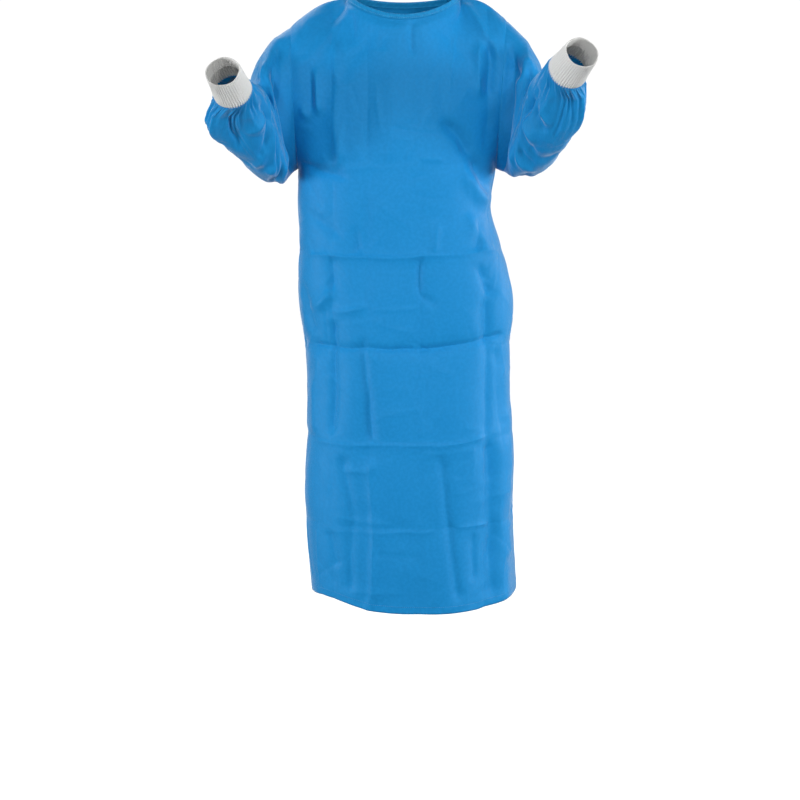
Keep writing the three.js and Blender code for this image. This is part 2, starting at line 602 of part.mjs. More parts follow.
// Waist ties, tied in a plain knot at the back, with two short tails
{
  const seat = CLOTH / 2 + SEAM + TAPE_WALL / 2 + TIE.ease;
  const knotLift = CLOTH / 2 + SEAM + KNOT.deep + TIE.ease;
  const centre = backOutside(rightBack, TIE.knotAt, TIE.z, knotLift);
  for (const [name, from, hand] of [["tie_left", TIE.leftFrom, -1], ["tie_right", TIE.rightFrom, 1]]) {
    const edge = centre.x + hand * (KNOT.wide + SEAM);
    let aim = edge;
    for (let k = 0; k < 5; k += 1) {
      aim += edge - backOutside(rightBack, turnAtX(aim, TIE.z), TIE.z, knotLift).x;
    }
    const to = turnAtX(aim, TIE.z);
    const grid = [0, 0.5, 1].map((line) => Array.from({ length: 15 }, (_, i) => {
      const along = i / 14;
      const turn = mix(from, to, along);
      const under = hand < 0 && turn < BACK_SPAN.rightStart;
      const climb = under ? 2 * BACK_SPAN.part * ease((turn - TIE.climbFrom) / TIE.climb) : 0;
      const atKnot = (knotLift - seat) * ease((along - 0.82) / 0.18);
      const wide = mix(TIE.wide, KNOT.high, ease((along - 0.7) / 0.3));
      const half = under ? leftBack : rightBack;
      return backOutside(half, turn, TIE.z + (line - 0.5) * wide, seat + climb + atKnot);
    }));
    add(name, wallAbout(grid, false, hand, TAPE_WALL), cloth());
  }

  const knot = new THREE.SphereGeometry(1, 18, 10);
  knot.scale(KNOT.wide, KNOT.deep, KNOT.high);
  knot.translate(centre.x, centre.y, centre.z);
  add("tie_knot", knot, cloth());

  for (const [name, hand] of [["tail_left", -1], ["tail_right", 1]]) {
    const grid = Array.from({ length: 10 }, (_, j) => [-0.5, 0, 0.5].map((across) => {
      const fall = j / 9;
      const z = TIE.z - KNOT.high - TIE_TAIL.below - fall * TIE_TAIL.long;
      const wide = mix(TIE_TAIL.narrow, TIE.wide, ease(fall * 3));
      const x = centre.x + hand * (SEAM + wide / 2 + TIE_TAIL.spread * fall) + across * wide;
      const resting = backOutside(rightBack, TIE.knotAt, z, knotLift - KNOT.deep + TAPE_WALL).y;
      return new THREE.Vector3(x, mix(centre.y, resting, ease(fall * 4)), z);
    }));
    add(name, wallAbout(grid, false, 1, TAPE_WALL), cloth());
  }
}

// Hook-and-loop tab that holds the two back halves together at the neck
{
  const grid = [1, 0.5, 0].map((t) => Array.from({ length: 7 }, (_, i) => {
    const turn = mix(NECK_TAB.from, NECK_TAB.to, i / 6);
    const rise = 1 - (NECK_TAB.drop + t * NECK_TAB.high) / 330;
    const point = bodyPoint(turn, rise, 1);
    const step = 0.004;
    const across = bodyPoint(turn + step, rise, 1).sub(bodyPoint(turn - step, rise, 1));
    const up = bodyPoint(turn, rise + step, 1).sub(bodyPoint(turn, rise - step, 1));
    const normal = up.cross(across).normalize();
    const lift = BACK_SPAN.part + CLOTH / 2 + SEAM + TAPE_WALL / 2 + NECK_TAB.lift;
    return point.addScaledVector(normal, lift);
  }));
  add("neck_tab", wallAbout(grid, false, -1, TAPE_WALL), knit());
}

export default group;
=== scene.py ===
import math

import bpy
import numpy as np
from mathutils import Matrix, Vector


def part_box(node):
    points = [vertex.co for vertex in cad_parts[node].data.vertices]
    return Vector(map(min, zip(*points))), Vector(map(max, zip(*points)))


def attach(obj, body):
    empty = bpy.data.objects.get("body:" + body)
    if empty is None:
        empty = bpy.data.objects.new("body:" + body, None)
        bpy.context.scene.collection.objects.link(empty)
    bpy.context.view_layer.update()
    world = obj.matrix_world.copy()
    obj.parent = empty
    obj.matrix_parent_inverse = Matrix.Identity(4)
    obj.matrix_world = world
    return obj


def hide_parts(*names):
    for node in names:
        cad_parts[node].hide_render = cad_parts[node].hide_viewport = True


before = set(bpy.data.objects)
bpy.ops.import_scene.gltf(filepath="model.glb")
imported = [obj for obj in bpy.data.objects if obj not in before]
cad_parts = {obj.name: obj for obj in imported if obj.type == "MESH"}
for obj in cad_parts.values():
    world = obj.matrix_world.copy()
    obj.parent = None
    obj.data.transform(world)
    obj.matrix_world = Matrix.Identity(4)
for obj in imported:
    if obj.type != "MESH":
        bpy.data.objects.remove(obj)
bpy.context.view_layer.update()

# Front panel: one piece of blue bonded-fibre cloth from neck to hem, cut wider at the skirt.
# It hangs from the shoulder seams, still shows the lines that it was folded along in its packet,
# and is turned in once along the hem. Lengths in this file are millimetres until a mesh is made.
PER_METRE = 1000
BODY_RINGS = {
    "z": [-1205, -1100, -970, -806, -700, -600, -522, -443, -400, -340],
    "left": [-186, -191, -193, -190, -196, -207, -206, -205, -207, -208],
    "right": [233, 229, 223, 212, 214, 217, 200, 177, 172, 184],
    "front": [-142, -144, -143, -140, -137, -133, -130, -128, -129, -131],
    "back": [130, 128, 124, 121, 119, 116, 112, 109, 110, 113],
    "right_y": [92, 70, 42, 20, 8, 4, 0, 0, 0, 0],
}
HEM_Z = BODY_RINGS["z"][0]
UNDERARM_Z = BODY_RINGS["z"][-1]
ARMHOLE_LEFT = {
    "outer": (-220, 0, -64), "front": (-214, -82, -200),
    "under": (-208, 0, -340), "back": (-214, 82, -200),
}
ARMHOLE_RIGHT = {
    "outer": (203, 0, -52), "front": (190, -80, -190),
    "under": (184, 0, -340), "back": (192, 82, -195),
}
NECK_LEFT = -110
NECK_RIGHT = 112
NECK_Z = -9
NECK_REACH = {"front": -92, "back": 68}
NECK_DROP = {"front": 42, "back": 14}
NECK_ROUND = 1.6
NECK_CORNER = 1 / 3
SHOULDER_RISE = 14
SHOULDER_SPREAD = {"steps": 29, "reach": 1.4, "fade": 1.5, "wide": 0.32}
SECTION_SQUARE = 0.8
CHEST_BLEND = 0.45
CHEST_POWER = 2.6
HEM_RISE = {"high": 12, "at": -0.85, "wide": 0.45, "from": 0.72}


def mix(a, b, t):
    return a + (b - a) * t


def ease(t):
    t = np.clip(t, 0, 1)
    return t * t * (3 - 2 * t)


def bell(away, wide):
    """1 at nothing away, and hardly anything from two widths away."""
    return np.exp(-((away / wide) ** 2))


def unit(vectors):
    return vectors / np.linalg.norm(vectors, axis=-1, keepdims=True)


def run_along(path):
    """Distance along a path at each of its points."""
    return np.concatenate([[0], np.cumsum(np.linalg.norm(np.diff(path, axis=0), axis=-1))])


def signed_power(value, power):
    return np.sign(value) * np.abs(value) ** power


def smooth_curve(start, end, start_slope, end_slope, t):
    """A curve from start (t is 0) to end (t is 1) that has a slope given at each."""
    return ((2 * t**3 - 3 * t**2 + 1) * start + (t**3 - 2 * t**2 + t) * start_slope
            + (3 * t**2 - 2 * t**3) * end + (t**3 - t**2) * end_slope)


def ring_column(z, name):
    """A column of the body's ring table at heights z, as a smooth curve through its rows."""
    heights, values = np.array(BODY_RINGS["z"], float), np.array(BODY_RINGS[name], float)
    last = len(heights) - 1
    low, high = np.maximum(np.arange(last + 1) - 1, 0), np.minimum(np.arange(last + 1) + 1, last)
    slopes = (values[high] - values[low]) / (heights[high] - heights[low])
    row = np.clip(np.searchsorted(heights, z, side="left") - 1, 0, last - 1)
    step = heights[row + 1] - heights[row]
    t = (z - heights[row]) / step
    return smooth_curve(values[row], values[row + 1], step * slopes[row], step * slopes[row + 1], t)


def loop_point(section, angle):
    """Points of a closed section given by its outer, front, under and back point."""
    outer, front, under, back = (np.array(section[k], float) for k in ("outer", "front", "under", "back"))
    angle = np.asarray(angle)[..., None]
    return ((outer + front + under + back) / 4 + (outer - under) / 2 * np.cos(angle)
            + (front - back) / 2 * np.sin(angle) + (outer + under - front - back) / 4 * np.cos(2 * angle))


def armhole_angle(high, side):
    """Where a panel's edge is on the armhole: at its underside (high is 0) up to its top (1)."""
    return np.pi * (1 + side * high)


def top_edge(turn, side):
    """Shoulder seam, neck edge and shoulder seam again, from one armhole to the other."""
    face = "front" if side < 0 else "back"
    across = np.clip((turn - NECK_CORNER) / (1 - 2 * NECK_CORNER), 0, 1)
    deep = np.maximum(np.sin(np.pi * across), 0)
    middle, half = (NECK_LEFT + NECK_RIGHT) / 2, (NECK_RIGHT - NECK_LEFT) / 2
    neck = np.stack([middle - half * np.cos(np.pi * across), NECK_REACH[face] * deep,
                     NECK_Z - NECK_DROP[face] * deep**NECK_ROUND], -1)
    seams = []
    for section, corner_x, along in ((ARMHOLE_LEFT, NECK_LEFT, turn / NECK_CORNER),
                                     (ARMHOLE_RIGHT, NECK_RIGHT, (1 - turn) / NECK_CORNER)):
        along = np.clip(along, 0, 1)[..., None]
        seam = mix(np.array(section["outer"], float), np.array([corner_x, 0, NECK_Z], float), along)
        seam[..., 2] += SHOULDER_RISE * np.sin(np.pi * along[..., 0])
        seams.append(seam)
    at_left, at_right = (turn < NECK_CORNER)[..., None], (turn > 1 - NECK_CORNER)[..., None]
    return np.where(at_left, seams[0], np.where(at_right, seams[1], neck))


def skirt_points(turn, rise, side):
    """Cloth of the skirt, from the hem (rise is -1) to the underarm (0)."""
    face = "front" if side < 0 else "back"
    across, bulge = -np.cos(np.pi * turn), np.maximum(np.sin(np.pi * turn), 0)
    low = np.minimum(rise, 0)
    z = mix(UNDERARM_Z, HEM_Z, -low)
    span = (1 + signed_power(across, SECTION_SQUARE)) / 2
    x = mix(ring_column(z, "left"), ring_column(z, "right"), span)
    y = mix(ring_column(z, "right_y") * turn, ring_column(z, face), bulge**SECTION_SQUARE)
    corner = bell(across - HEM_RISE["at"], HEM_RISE["wide"])
    lifted = HEM_RISE["high"] * corner * ease((-low - HEM_RISE["from"]) / (1 - HEM_RISE["from"]))
    return np.stack([x, y, z + lifted], -1)


def chest_points(turn, rise, side):
    """Cloth of the chest between the armholes, from the underarm (rise is 0) to the shoulder (1)."""
    face = "front" if side < 0 else "back"
    across, bulge = -np.cos(np.pi * turn), np.maximum(np.sin(np.pi * turn), 0)
    high = np.maximum(rise, 0)
    loop = armhole_angle(high, side)
    flat = ease(high / CHEST_BLEND)
    span = ((1 + signed_power(across, mix(SECTION_SQUARE, 1.0, flat))) / 2)[..., None]
    edge = mix(loop_point(ARMHOLE_LEFT, loop), loop_point(ARMHOLE_RIGHT, loop), span)
    middle_y = mix(BODY_RINGS[face][-1], NECK_REACH[face], high**CHEST_POWER)
    middle_z = mix(UNDERARM_Z, NECK_Z - NECK_DROP[face], high)
    chest = np.stack([edge[..., 0], mix(edge[..., 1], middle_y, bulge ** mix(SECTION_SQUARE, 2.0, flat)),
                      mix(edge[..., 2], middle_z, bulge**2)], -1)
    lift, total = np.zeros_like(chest), 0.0
    for step in np.linspace(-SHOULDER_SPREAD["reach"], SHOULDER_SPREAD["reach"], SHOULDER_SPREAD["steps"]):
        near = np.clip(turn + step * SHOULDER_SPREAD["wide"] * (1 - high), 0, 1)
        share = math.cos(step / SHOULDER_SPREAD["fade"] * math.pi / 2) ** 2
        arch = mix(np.array(ARMHOLE_LEFT["outer"], float), np.array(ARMHOLE_RIGHT["outer"], float),
                   ((1 - np.cos(np.pi * near)) / 2)[..., None])
        bow = np.maximum(np.sin(np.pi * near), 0) ** 2
        arch[..., 1] = mix(arch[..., 1], NECK_REACH[face], bow)
        arch[..., 2] = mix(arch[..., 2], NECK_Z - NECK_DROP[face], bow)
        lift += (top_edge(near, side) - arch) * share
        total += share
    return chest + lift / total * (high**CHEST_POWER)[..., None]


def body_points(turn, rise, side):
    """Cloth round the body. Turn runs from the seam at image left (0) to image right (1), rise
    from the hem (-1) over the underarm (0) to the shoulder (1). Side is -1 in front, 1 behind."""
    turn, rise = np.broadcast_arrays(np.asarray(turn, float), np.asarray(rise, float))
    chest, skirt = chest_points(turn, rise, side), skirt_points(turn, rise, side)
    return np.where((rise > 0)[..., None], chest, skirt)


def cloth_normals(points, closed=False):
    """Unit directions square to a grid of points."""
    if closed:
        across = np.roll(points, -1, 1) - np.roll(points, 1, 1)
    else:
        across = np.gradient(points, axis=1)
    normals = np.cross(across, np.gradient(points, axis=0))
    return normals / np.maximum(np.linalg.norm(normals, axis=-1, keepdims=True), 1e-9)


def cloth_lengths(points):
    """Distances over the cloth: sideways from the middle column, and up from row 0."""
    sideways = np.linalg.norm(np.diff(points, axis=1), axis=-1)
    sideways = np.concatenate([np.zeros((len(points), 1)), np.cumsum(sideways, 1)], 1)
    sideways -= sideways[:, [points.shape[1] // 2]]
    up = np.linalg.norm(np.diff(points, axis=0), axis=-1)
    up = np.concatenate([np.zeros((1, points.shape[1])), np.cumsum(up, 0)], 0)
    return sideways, up


NOISE_CELLS = 64


def soft_noise(u, v, cell, seed):
    """Smooth unevenness from -1 to 1 with features about one cell wide."""
    table = np.random.default_rng(seed).uniform(-1, 1, (NOISE_CELLS, NOISE_CELLS))
    i, j = np.floor(u / cell).astype(int), np.floor(v / cell).astype(int)
    s, t = ease(u / cell - i), ease(v / cell - j)
    i, j, next_i, next_j = (place % NOISE_CELLS for place in (i, j, i + 1, j + 1))
    low = mix(table[i, j], table[next_i, j], s)
    high = mix(table[i, next_j], table[next_i, next_j], s)
    return mix(low, high, t)


def soft_wave(u, cell, seed):
    """The same unevenness along one direction."""
    return soft_noise(u, u * 0, cell, seed)


CREASE_BOW = 0.02
CREASE_WAVER = {"size": 0.28, "cell": 38}
CREASE_SWELL = {"size": 0.22, "cell": 55}
CREASE_END = 2.6
CREASE_TIP = 0.16


def crease_height(u, v, line, seed):
    """Height of one crease: line holds from u, from v, to u, to v, height, width, sharpness."""
    from_u, from_v, to_u, to_v, high, wide, sharp = line
    du, dv = to_u - from_u, to_v - from_v
    length = math.hypot(du, dv)
    along = ((u - from_u) * du + (v - from_v) * dv) / length
    away = ((u - from_u) * dv - (v - from_v) * du) / length
    bow = np.random.default_rng(seed).uniform(-1, 1) * CREASE_BOW * length
    away = away + bow * np.sin(np.pi * np.clip(along / length, 0, 1))
    away = away + wide * CREASE_WAVER["size"] * soft_wave(along, CREASE_WAVER["cell"], seed)
    end, tip = CREASE_END * wide, CREASE_TIP * wide
    ends = ease((along + wide) / end) * ease((length + wide - along) / end)
    swell = 1 - CREASE_SWELL["size"] + CREASE_SWELL["size"] * soft_wave(along, CREASE_SWELL["cell"], seed + 1)
    crisp = np.exp(-(np.sqrt(away**2 + tip**2) - tip) / wide)
    return high * ends * swell * mix(bell(away, wide), crisp, sharp)


def all_creases(u, v, lines, seed):
    total = np.zeros_like(u)
    for k, line in enumerate(lines):
        total += crease_height(u, v, line, seed + 7 * k)
    return total


WRINKLE_LONG = (28, 120)
WRINKLE_WIDE = (3.2, 8.0)
WRINKLE_REACH = 30
WRINKLE_SHARP = 0.7


def handling_wrinkles(u, v, seed, count, box, upright, high):
    """Short faint wrinkles left by wear and packing, in a box of from u, to u, from v, to v."""
    rng = np.random.default_rng(seed)
    total = np.zeros_like(u)
    for k in range(count):
        at_u, at_v = rng.uniform(box[0], box[1]), rng.uniform(box[2], box[3])
        lean = rng.normal(math.pi / 2 if rng.random() < upright else 0, 0.5)
        long, wide = rng.uniform(*WRINKLE_LONG), rng.uniform(*WRINKLE_WIDE)
        size = high * rng.uniform(0.35, 1) * (1 if rng.random() < 0.5 else -1)
        size *= (long / WRINKLE_LONG[1]) ** 0.4
        to_u, to_v = at_u + long * math.cos(lean), at_v + long * math.sin(lean)
        near = (np.abs(u - at_u) < long + WRINKLE_REACH) & (np.abs(v - at_v) < long + WRINKLE_REACH)
        if near.any():
            line = (at_u, at_v, to_u, to_v, size, wide, WRINKLE_SHARP)
            total[near] += crease_height(u[near], v[near], line, seed + 31 * k)
    return total


def add_object(name, data):
    thing = bpy.data.objects.new(name, data)
    bpy.context.scene.collection.objects.link(thing)
    return thing


def cloth_mesh(name, points, material, closed=False, flip=False):
    """A smooth mesh in metres over a grid of points in millimetres, with its UVs in metres."""
    rows, count = points.shape[:2]
    index = np.arange(rows * count).reshape(rows, count)
    left = index if closed else index[:, :-1]
    right = np.roll(index, -1, 1) if closed else index[:, 1:]
    quads = np.stack([left[:-1], right[:-1], right[1:], left[1:]], -1).reshape(-1, 4)
    sideways, up = cloth_lengths(points)
    if closed:
        sideways = np.concatenate([sideways, 2 * sideways[:, [-1]] - sideways[:, [-2]]], 1)
        up = np.concatenate([up, up[:, [0]]], 1)
    flat = np.stack([sideways, up], -1)
    corners = np.stack([flat[:-1, :-1], flat[:-1, 1:], flat[1:, 1:], flat[1:, :-1]], -2).reshape(-1, 4, 2)
    if flip:
        quads, corners = quads[:, ::-1], corners[:, ::-1]
    mesh = bpy.data.meshes.new(name)
    mesh.from_pydata((points.reshape(-1, 3) / PER_METRE).tolist(), [], quads.tolist())
    layer = mesh.uv_layers.new(name="cloth")
    layer.data.foreach_set("uv", (corners / PER_METRE).astype(np.float32).ravel())
    mesh.shade_smooth()
    mesh.materials.append(material)
    return add_object(name, mesh)


HEM_ROWS = 6
HEM_GAP = 0.8


def turned_hem(points, normals):
    """The strip folded to the inside along the hem, from its raw edge down to the fold."""
    return (points[:HEM_ROWS] - normals[:HEM_ROWS] * HEM_GAP)[::-1]


def connect(tree, node, inputs):
    """Sets each input of a node to its value, or joins it to the output that is given for it."""
    for socket, value in inputs.items():
        if isinstance(value, bpy.types.NodeSocket):
            tree.links.new(value, node.inputs[socket])
        else:
            node.inputs[socket].default_value = value


def new_node(tree, kind, inputs, **settings):
    """A node with its settings made and its inputs connected."""
    node = tree.nodes.new(kind)
    for key, value in settings.items():
        setattr(node, key, value)
    connect(tree, node, inputs)
    return node


def shape_value(tree, source, low, high, to_low=0.0, to_high=1.0):
    """A value eased from one range into another."""
    limits = {"From Min": low, "From Max": high, "To Min": to_low, "To Max": to_high}
    node = new_node(tree, "ShaderNodeMapRange", {"Value": source, **limits}, interpolation_type="SMOOTHSTEP")
    return node.outputs["Result"]


def math_value(tree, operation, *values):
    node = new_node(tree, "ShaderNodeMath", dict(enumerate(values)), operation=operation)
    return node.outputs[0]


def two_tones(tree, factor, dark, light):
    """A colour between dark and light."""
    node = new_node(tree, "ShaderNodeMix", {"Factor": factor, "A": dark, "B": light}, data_type="RGBA")
    return node.outputs["Result"]


def bump(tree, **inputs):
    """A normal raised by a height."""
    return new_node(tree, "ShaderNodeBump", inputs).outputs["Normal"]


def new_group(name, inputs, outputs):
    """A node group with inputs (name and kind of socket) and values as outputs."""
    group = bpy.data.node_groups.new(name, "ShaderNodeTree")
    for socket, kind in inputs.items():
        group.interface.new_socket(name=socket, in_out="INPUT", socket_type=kind)
    for socket in outputs:
        group.interface.new_socket(name=socket, in_out="OUTPUT", socket_type="NodeSocketFloat")
    return group, new_node(group, "NodeGroupInput", {}).outputs, new_node(group, "NodeGroupOutput", {})


def new_material(name):
    """A new material, its node tree and its shader."""
    material = bpy.data.materials.new(name)
    material.use_nodes = True
    tree = material.node_tree
    return material, tree, tree.nodes["Principled BSDF"]


def place_on_cloth(tree):
    return new_node(tree, "ShaderNodeUVMap", {}, uv_map="cloth").outputs["UV"]


# Bonded-fibre cloth as a group: rows of pressed bond points, cloudy fibre density, fine fibres
# and the crumple that handling leaves. It takes the place on the cloth in metres.
BONDS_PER_METRE = 520
CLOUDS_PER_METRE = 150
CRUMPLES_PER_METRE = 17
STRANDS_PER_METRE = ((2300, 420, 1), (520, 2100, 1))
bonded, given, bonded_end = new_group(
    "bonded_fibre_cloth",
    {"Place": "NodeSocketVector", "Bonds per metre": "NodeSocketFloat"},
    ("Bonds", "Clouds", "Fibres", "Crumple"),
)
slanted = {"Vector": given["Place"], "Rotation": (0, 0, math.radians(45))}
turned = new_node(bonded, "ShaderNodeMapping", slanted).outputs["Vector"]
bond_points = {"Vector": turned, "Scale": given["Bonds per metre"], "Randomness": 0.08}
bonds = new_node(bonded, "ShaderNodeTexVoronoi", bond_points, voronoi_dimensions="2D")
cloudy = {"Vector": given["Place"], "Scale": CLOUDS_PER_METRE, "Detail": 4}
clouds = new_node(bonded, "ShaderNodeTexNoise", cloudy, noise_dimensions="2D")
strands = []
for stretch in STRANDS_PER_METRE:
    drawn = new_node(bonded, "ShaderNodeVectorMath", {0: given["Place"], 1: stretch}, operation="MULTIPLY")
    strand = {"Vector": drawn.outputs["Vector"], "Scale": 1, "Detail": 2, "Distortion": 0.6}
    strands.append(new_node(bonded, "ShaderNodeTexNoise", strand, noise_dimensions="2D").outputs["Fac"])
creased = {"Vector": given["Place"], "Scale": CRUMPLES_PER_METRE, "Detail": 4}
creased.update({"Roughness": 0.4, "Distortion": 0.35})
ridges = {"noise_dimensions": "2D", "noise_type": "RIDGED_MULTIFRACTAL"}
crumples = new_node(bonded, "ShaderNodeTexNoise", creased, **ridges)
connect(bonded, bonded_end, {
    "Bonds": shape_value(bonded, bonds.outputs["Distance"], 0.36, 0.2),
    "Clouds": shape_value(bonded, clouds.outputs["Fac"], 0.3, 0.7),
    "Fibres": shape_value(bonded, math_value(bonded, "MAXIMUM", *strands), 0.4, 0.75),
    "Crumple": shape_value(bonded, crumples.outputs["Fac"], 0.3, 1.9),
})


def gown_material(name, deep, base, pale, crumple_high):
    """Blue spunbond cloth: matt, a little lighter where fibres lie thick, glossier at its bonds."""
    material, tree, shader = new_material(name)
    place = {"Place": place_on_cloth(tree), "Bonds per metre": BONDS_PER_METRE}
    sheet = new_node(tree, "ShaderNodeGroup", place, node_tree=bonded).outputs
    density = new_node(tree, "ShaderNodeValToRGB", {"Fac": sheet["Clouds"]})
    ramp = density.color_ramp.elements
    ramp[0].color = deep
    ramp[1].color = pale
    ramp.new(0.5).color = base
    pressed = {"Factor": shape_value(tree, sheet["Bonds"], 0, 1, 0, 0.55),
               "A": density.outputs["Color"], "B": (0.80, 0.86, 0.90, 1)}
    colour = new_node(tree, "ShaderNodeMix", pressed, data_type="RGBA", blend_type="MULTIPLY")
    crumpled = bump(tree, Height=sheet["Crumple"], Distance=crumple_high, Strength=0.9)
    grain = math_value(tree, "SUBTRACT", sheet["Fibres"], sheet["Bonds"])
    connect(tree, shader, {
        "Base Color": colour.outputs["Result"],
        "Roughness": shape_value(tree, sheet["Bonds"], 0, 1, 0.66, 0.42),
        "Specular IOR Level": 0.2,
        "Sheen Weight": 0.55,
        "Sheen Roughness": 0.28,
        "Sheen Tint": (0.88, 0.95, 1.0, 1),
        "Normal": bump(tree, Height=grain, Normal=crumpled, Distance=0.00009, Strength=0.6),
    })
    return material


CLOTH_DEEP = (0.002, 0.208, 0.505, 1)
CLOTH_BASE = (0.003, 0.216, 0.520, 1)
CLOTH_PALE = (0.004, 0.226, 0.540, 1)
gown_cloth = gown_material("gown_cloth", CLOTH_DEEP, CLOTH_BASE, CLOTH_PALE, 0.0008)

# The front's creases: from x, from z, to x, to z, height, width, sharpness from soft (0) to crisp (1).
FRONT_CREASES = [
    (-186, -504, 175, -498, 2.4, 7, 1), (-180, -682, 23, -686, -3.4, 7, 1),
    (23, -686, 196, -664, -3.6, 7, 1), (58, -876, 163, -862, 2.2, 7, 1),
    (-170, -874, 58, -876, 1.4, 7, 1), (-116, -930, -68, -930, 1.7, 6, 1),
    (105, -1038, 173, -1038, 1.9, 6, 1), (-150, -1052, 60, -1046, 0.9, 7, 1),
    (-200, -328, -109, -357, -3.0, 8, 0.6), (33, -318, 78, -318, 1.8, 6, 1),
    (-120, -338, 30, -330, 0.9, 7, 1), (-138, -510, -138, -572, -2.8, 8, 0.7),
    (-138, -572, -176, -611, 4.0, 11, 0.5), (-136, -615, -68, -602, 2.5, 7, 0.9),
    (33, -510, 33, -576, -2.7, 8, 0.8), (33, -576, 66, -602, -2.3, 8, 0.7),
    (-138, -635, -138, -856, -3.8, 9, 0.8), (-78, -666, -60, -870, -3.2, 9, 0.7),
    (159, -588, 167, -870, -5.2, 12, 0.6), (167, -870, 182, -1189, -6.2, 13, 0.5),
    (195, -870, 196, -1212, 4.2, 15, 0.2), (-66, -905, -66, -1220, 4.6, 11, 0.7),
    (-118, -901, -97, -1032, -3.8, 10, 0.6), (-97, -1032, -103, -1175, -3.2, 10, 0.6),
    (-147, -1052, -130, -1124, -2.2, 8, 0.7), (72, -895, 110, -1189, -3.0, 11, 0.5),
    (140, -1058, 140, -1150, -2.2, 8, 0.7), (202, -817, 213, -1116, 2.2, 9, 0.6),
    (33, -700, 33, -860, 1.4, 8, 1), (-128, -93, -128, -328, 4.0, 15, 0.3),
    (-97, -34, -97, -99, -2.0, 8, 0.7), (-39, -79, -39, -112, -2.0, 7, 0.7),
    (17, -48, 17, -122, -2.7, 8, 0.8), (-166, -146, -166, -230, 4.2, 9, 0.6),
    (-182, -140, -180, -226, -3.2, 9, 0.5), (-200, -222, -184, -240, 3.0, 8, 0.5),
    (149, -99, 149, -197, 4.0, 10, 0.5), (169, -99, 169, -197, -4.0, 9, 0.5),
    (120, -20, 198, -132, 3.2, 10, 0.5), (-92, -24, -190, -140, 2.4, 11, 0.4),
    (81, -246, 136, -314, -6.6, 14, 0.4), (136, -314, 169, -382, -6.8, 14, 0.4),
    (118, -340, 160, -415, 6.0, 16, 0.35), (125, -430, 170, -500, 4.2, 15, 0.35),
    (149, -523, 173, -588, -4.2, 11, 0.5), (60, -60, 150, -150, -1.8, 12, 0.3),
    (-60, -70, -140, -190, -1.8, 13, 0.3), (-20, -140, -28, -320, 1.2, 12, 0.4),
    (70, -130, 78, -250, -1.4, 12, 0.4), (-190, -420, -120, -470, -2.6, 10, 0.5),
    (-91, -450, -90, -500, -2.8, 8, 0.7), (66, -440, 62, -498, 2.6, 8, 0.8),
    (140, -440, 142, -498, -2.6, 8, 0.7), (-196, -560, -176, -660, -2.6, 9, 0.5),
    (186, -690, 196, -850, -2.8, 9, 0.5), (-170, -700, -176, -860, 2.4, 10, 0.5),
]
FRONT_PACKED_AT = {"x": (-138, -68, 33, 165), "z": (-330, -500, -684, -868, -1040)}
FRONT_FOLD_TURNS = (0.283, 0.416, 0.533, 0.788)
FRONT_GRID = {"body": 290, "chest": 100, "turns": 225}
FRONT_LOOK = {
    "crease_seed": 11, "field_high": 4.5, "field_seed": 12, "wrinkles": 220, "wrinkle_seed": 5,
    "wrinkle_box": (-280, 280, -1215, -40), "uneven_seed": 3, "wave_high": 2.6, "wave_long": 31,
    "wave_seed": 8, "wave_from": 900, "wave_over": 300,
}
HEM_LINE = {
    "x": (-186, -160, -110, -54, 0, 60, 150, 185, 205, 233),
    "z": (0, 4, -1, -8, -9, -8, -6, 0, 6, 0),
}
FIELD_EDGE = {"x": 260, "top": 0, "hem": -1230}
FIELD_ROUND = {"x": 26, "z": 30}
FIELD_TILT = 6.0
CREASE_SCALE = 2.2
WRINKLE_HIGH = 1.9
SEAM_FLAT = 20
TOP_FLAT = 24


def packed_fields(x, z, lines, high, seed):
    """Cloth standing a little proud between the lines that it was folded along, each field of it
    leaning its own way."""
    away_x = np.min([np.abs(x - at) for at in lines["x"]], axis=0)
    away_z = np.min([np.abs(z - at) for at in lines["z"]], axis=0)
    proud = high * (1 - np.exp(-away_x / FIELD_ROUND["x"])) * (1 - np.exp(-away_z / FIELD_ROUND["z"]))
    xs = [-FIELD_EDGE["x"], *lines["x"], FIELD_EDGE["x"]]
    zs = sorted([FIELD_EDGE["hem"], *lines["z"], FIELD_EDGE["top"]])
    corners = np.random.default_rng(seed).uniform(-1, 1, (len(xs), len(zs)))
    i, j = np.interp(x, xs, range(len(xs))), np.interp(z, zs, range(len(zs)))
    left, low = np.minimum(i.astype(int), len(xs) - 2), np.minimum(j.astype(int), len(zs) - 2)
    below = mix(corners[left, low], corners[left + 1, low], i - left)
    above = mix(corners[left, low + 1], corners[left + 1, low + 1], i - left)
    return proud + FIELD_TILT * mix(below, above, j - low)


def seam_pucker(away, along, seed, high=0.8):
    """Cloth that swells beside a seam, with small gathers that fade out of it."""
    swell = high * (1 - bell(away, 3.0)) * bell(away, 15)
    phase = along / 2.6 + 2.4 * soft_wave(along, 26, seed)
    strength = 0.45 + 0.4 * soft_wave(along, 31, seed + 1)
    return swell + 0.8 * np.sin(phase) * strength * bell(away, 11.0) * (1 - bell(away, 2.4))


def panel_relief(x, z, across, from_seam, from_top, creases, packed_at, look):
    """Height of a panel's creases, fields, wrinkles and hem waves, which fade out at its seams."""
    height = CREASE_SCALE * all_creases(x, z, creases, look["crease_seed"])
    height += packed_fields(x, z, packed_at, look["field_high"], look["field_seed"])
    height += handling_wrinkles(
        across, z, look["wrinkle_seed"], look["wrinkles"], look["wrinkle_box"], 0.5, WRINKLE_HIGH)
    uneven = look["uneven_seed"]
    height += 0.8 * soft_noise(x, z, 70, uneven) + 0.35 * soft_noise(x, z, 24, uneven + 1)
    waver = 2.2 * soft_wave(across, 90, look["wave_seed"])
    hanging = ease((-z - look["wave_from"]) / look["wave_over"])
    height += look["wave_high"] * np.sin(across / look["wave_long"] + waver) * hanging
    return height * (ease(from_seam / SEAM_FLAT) * ease(from_top / TOP_FLAT))


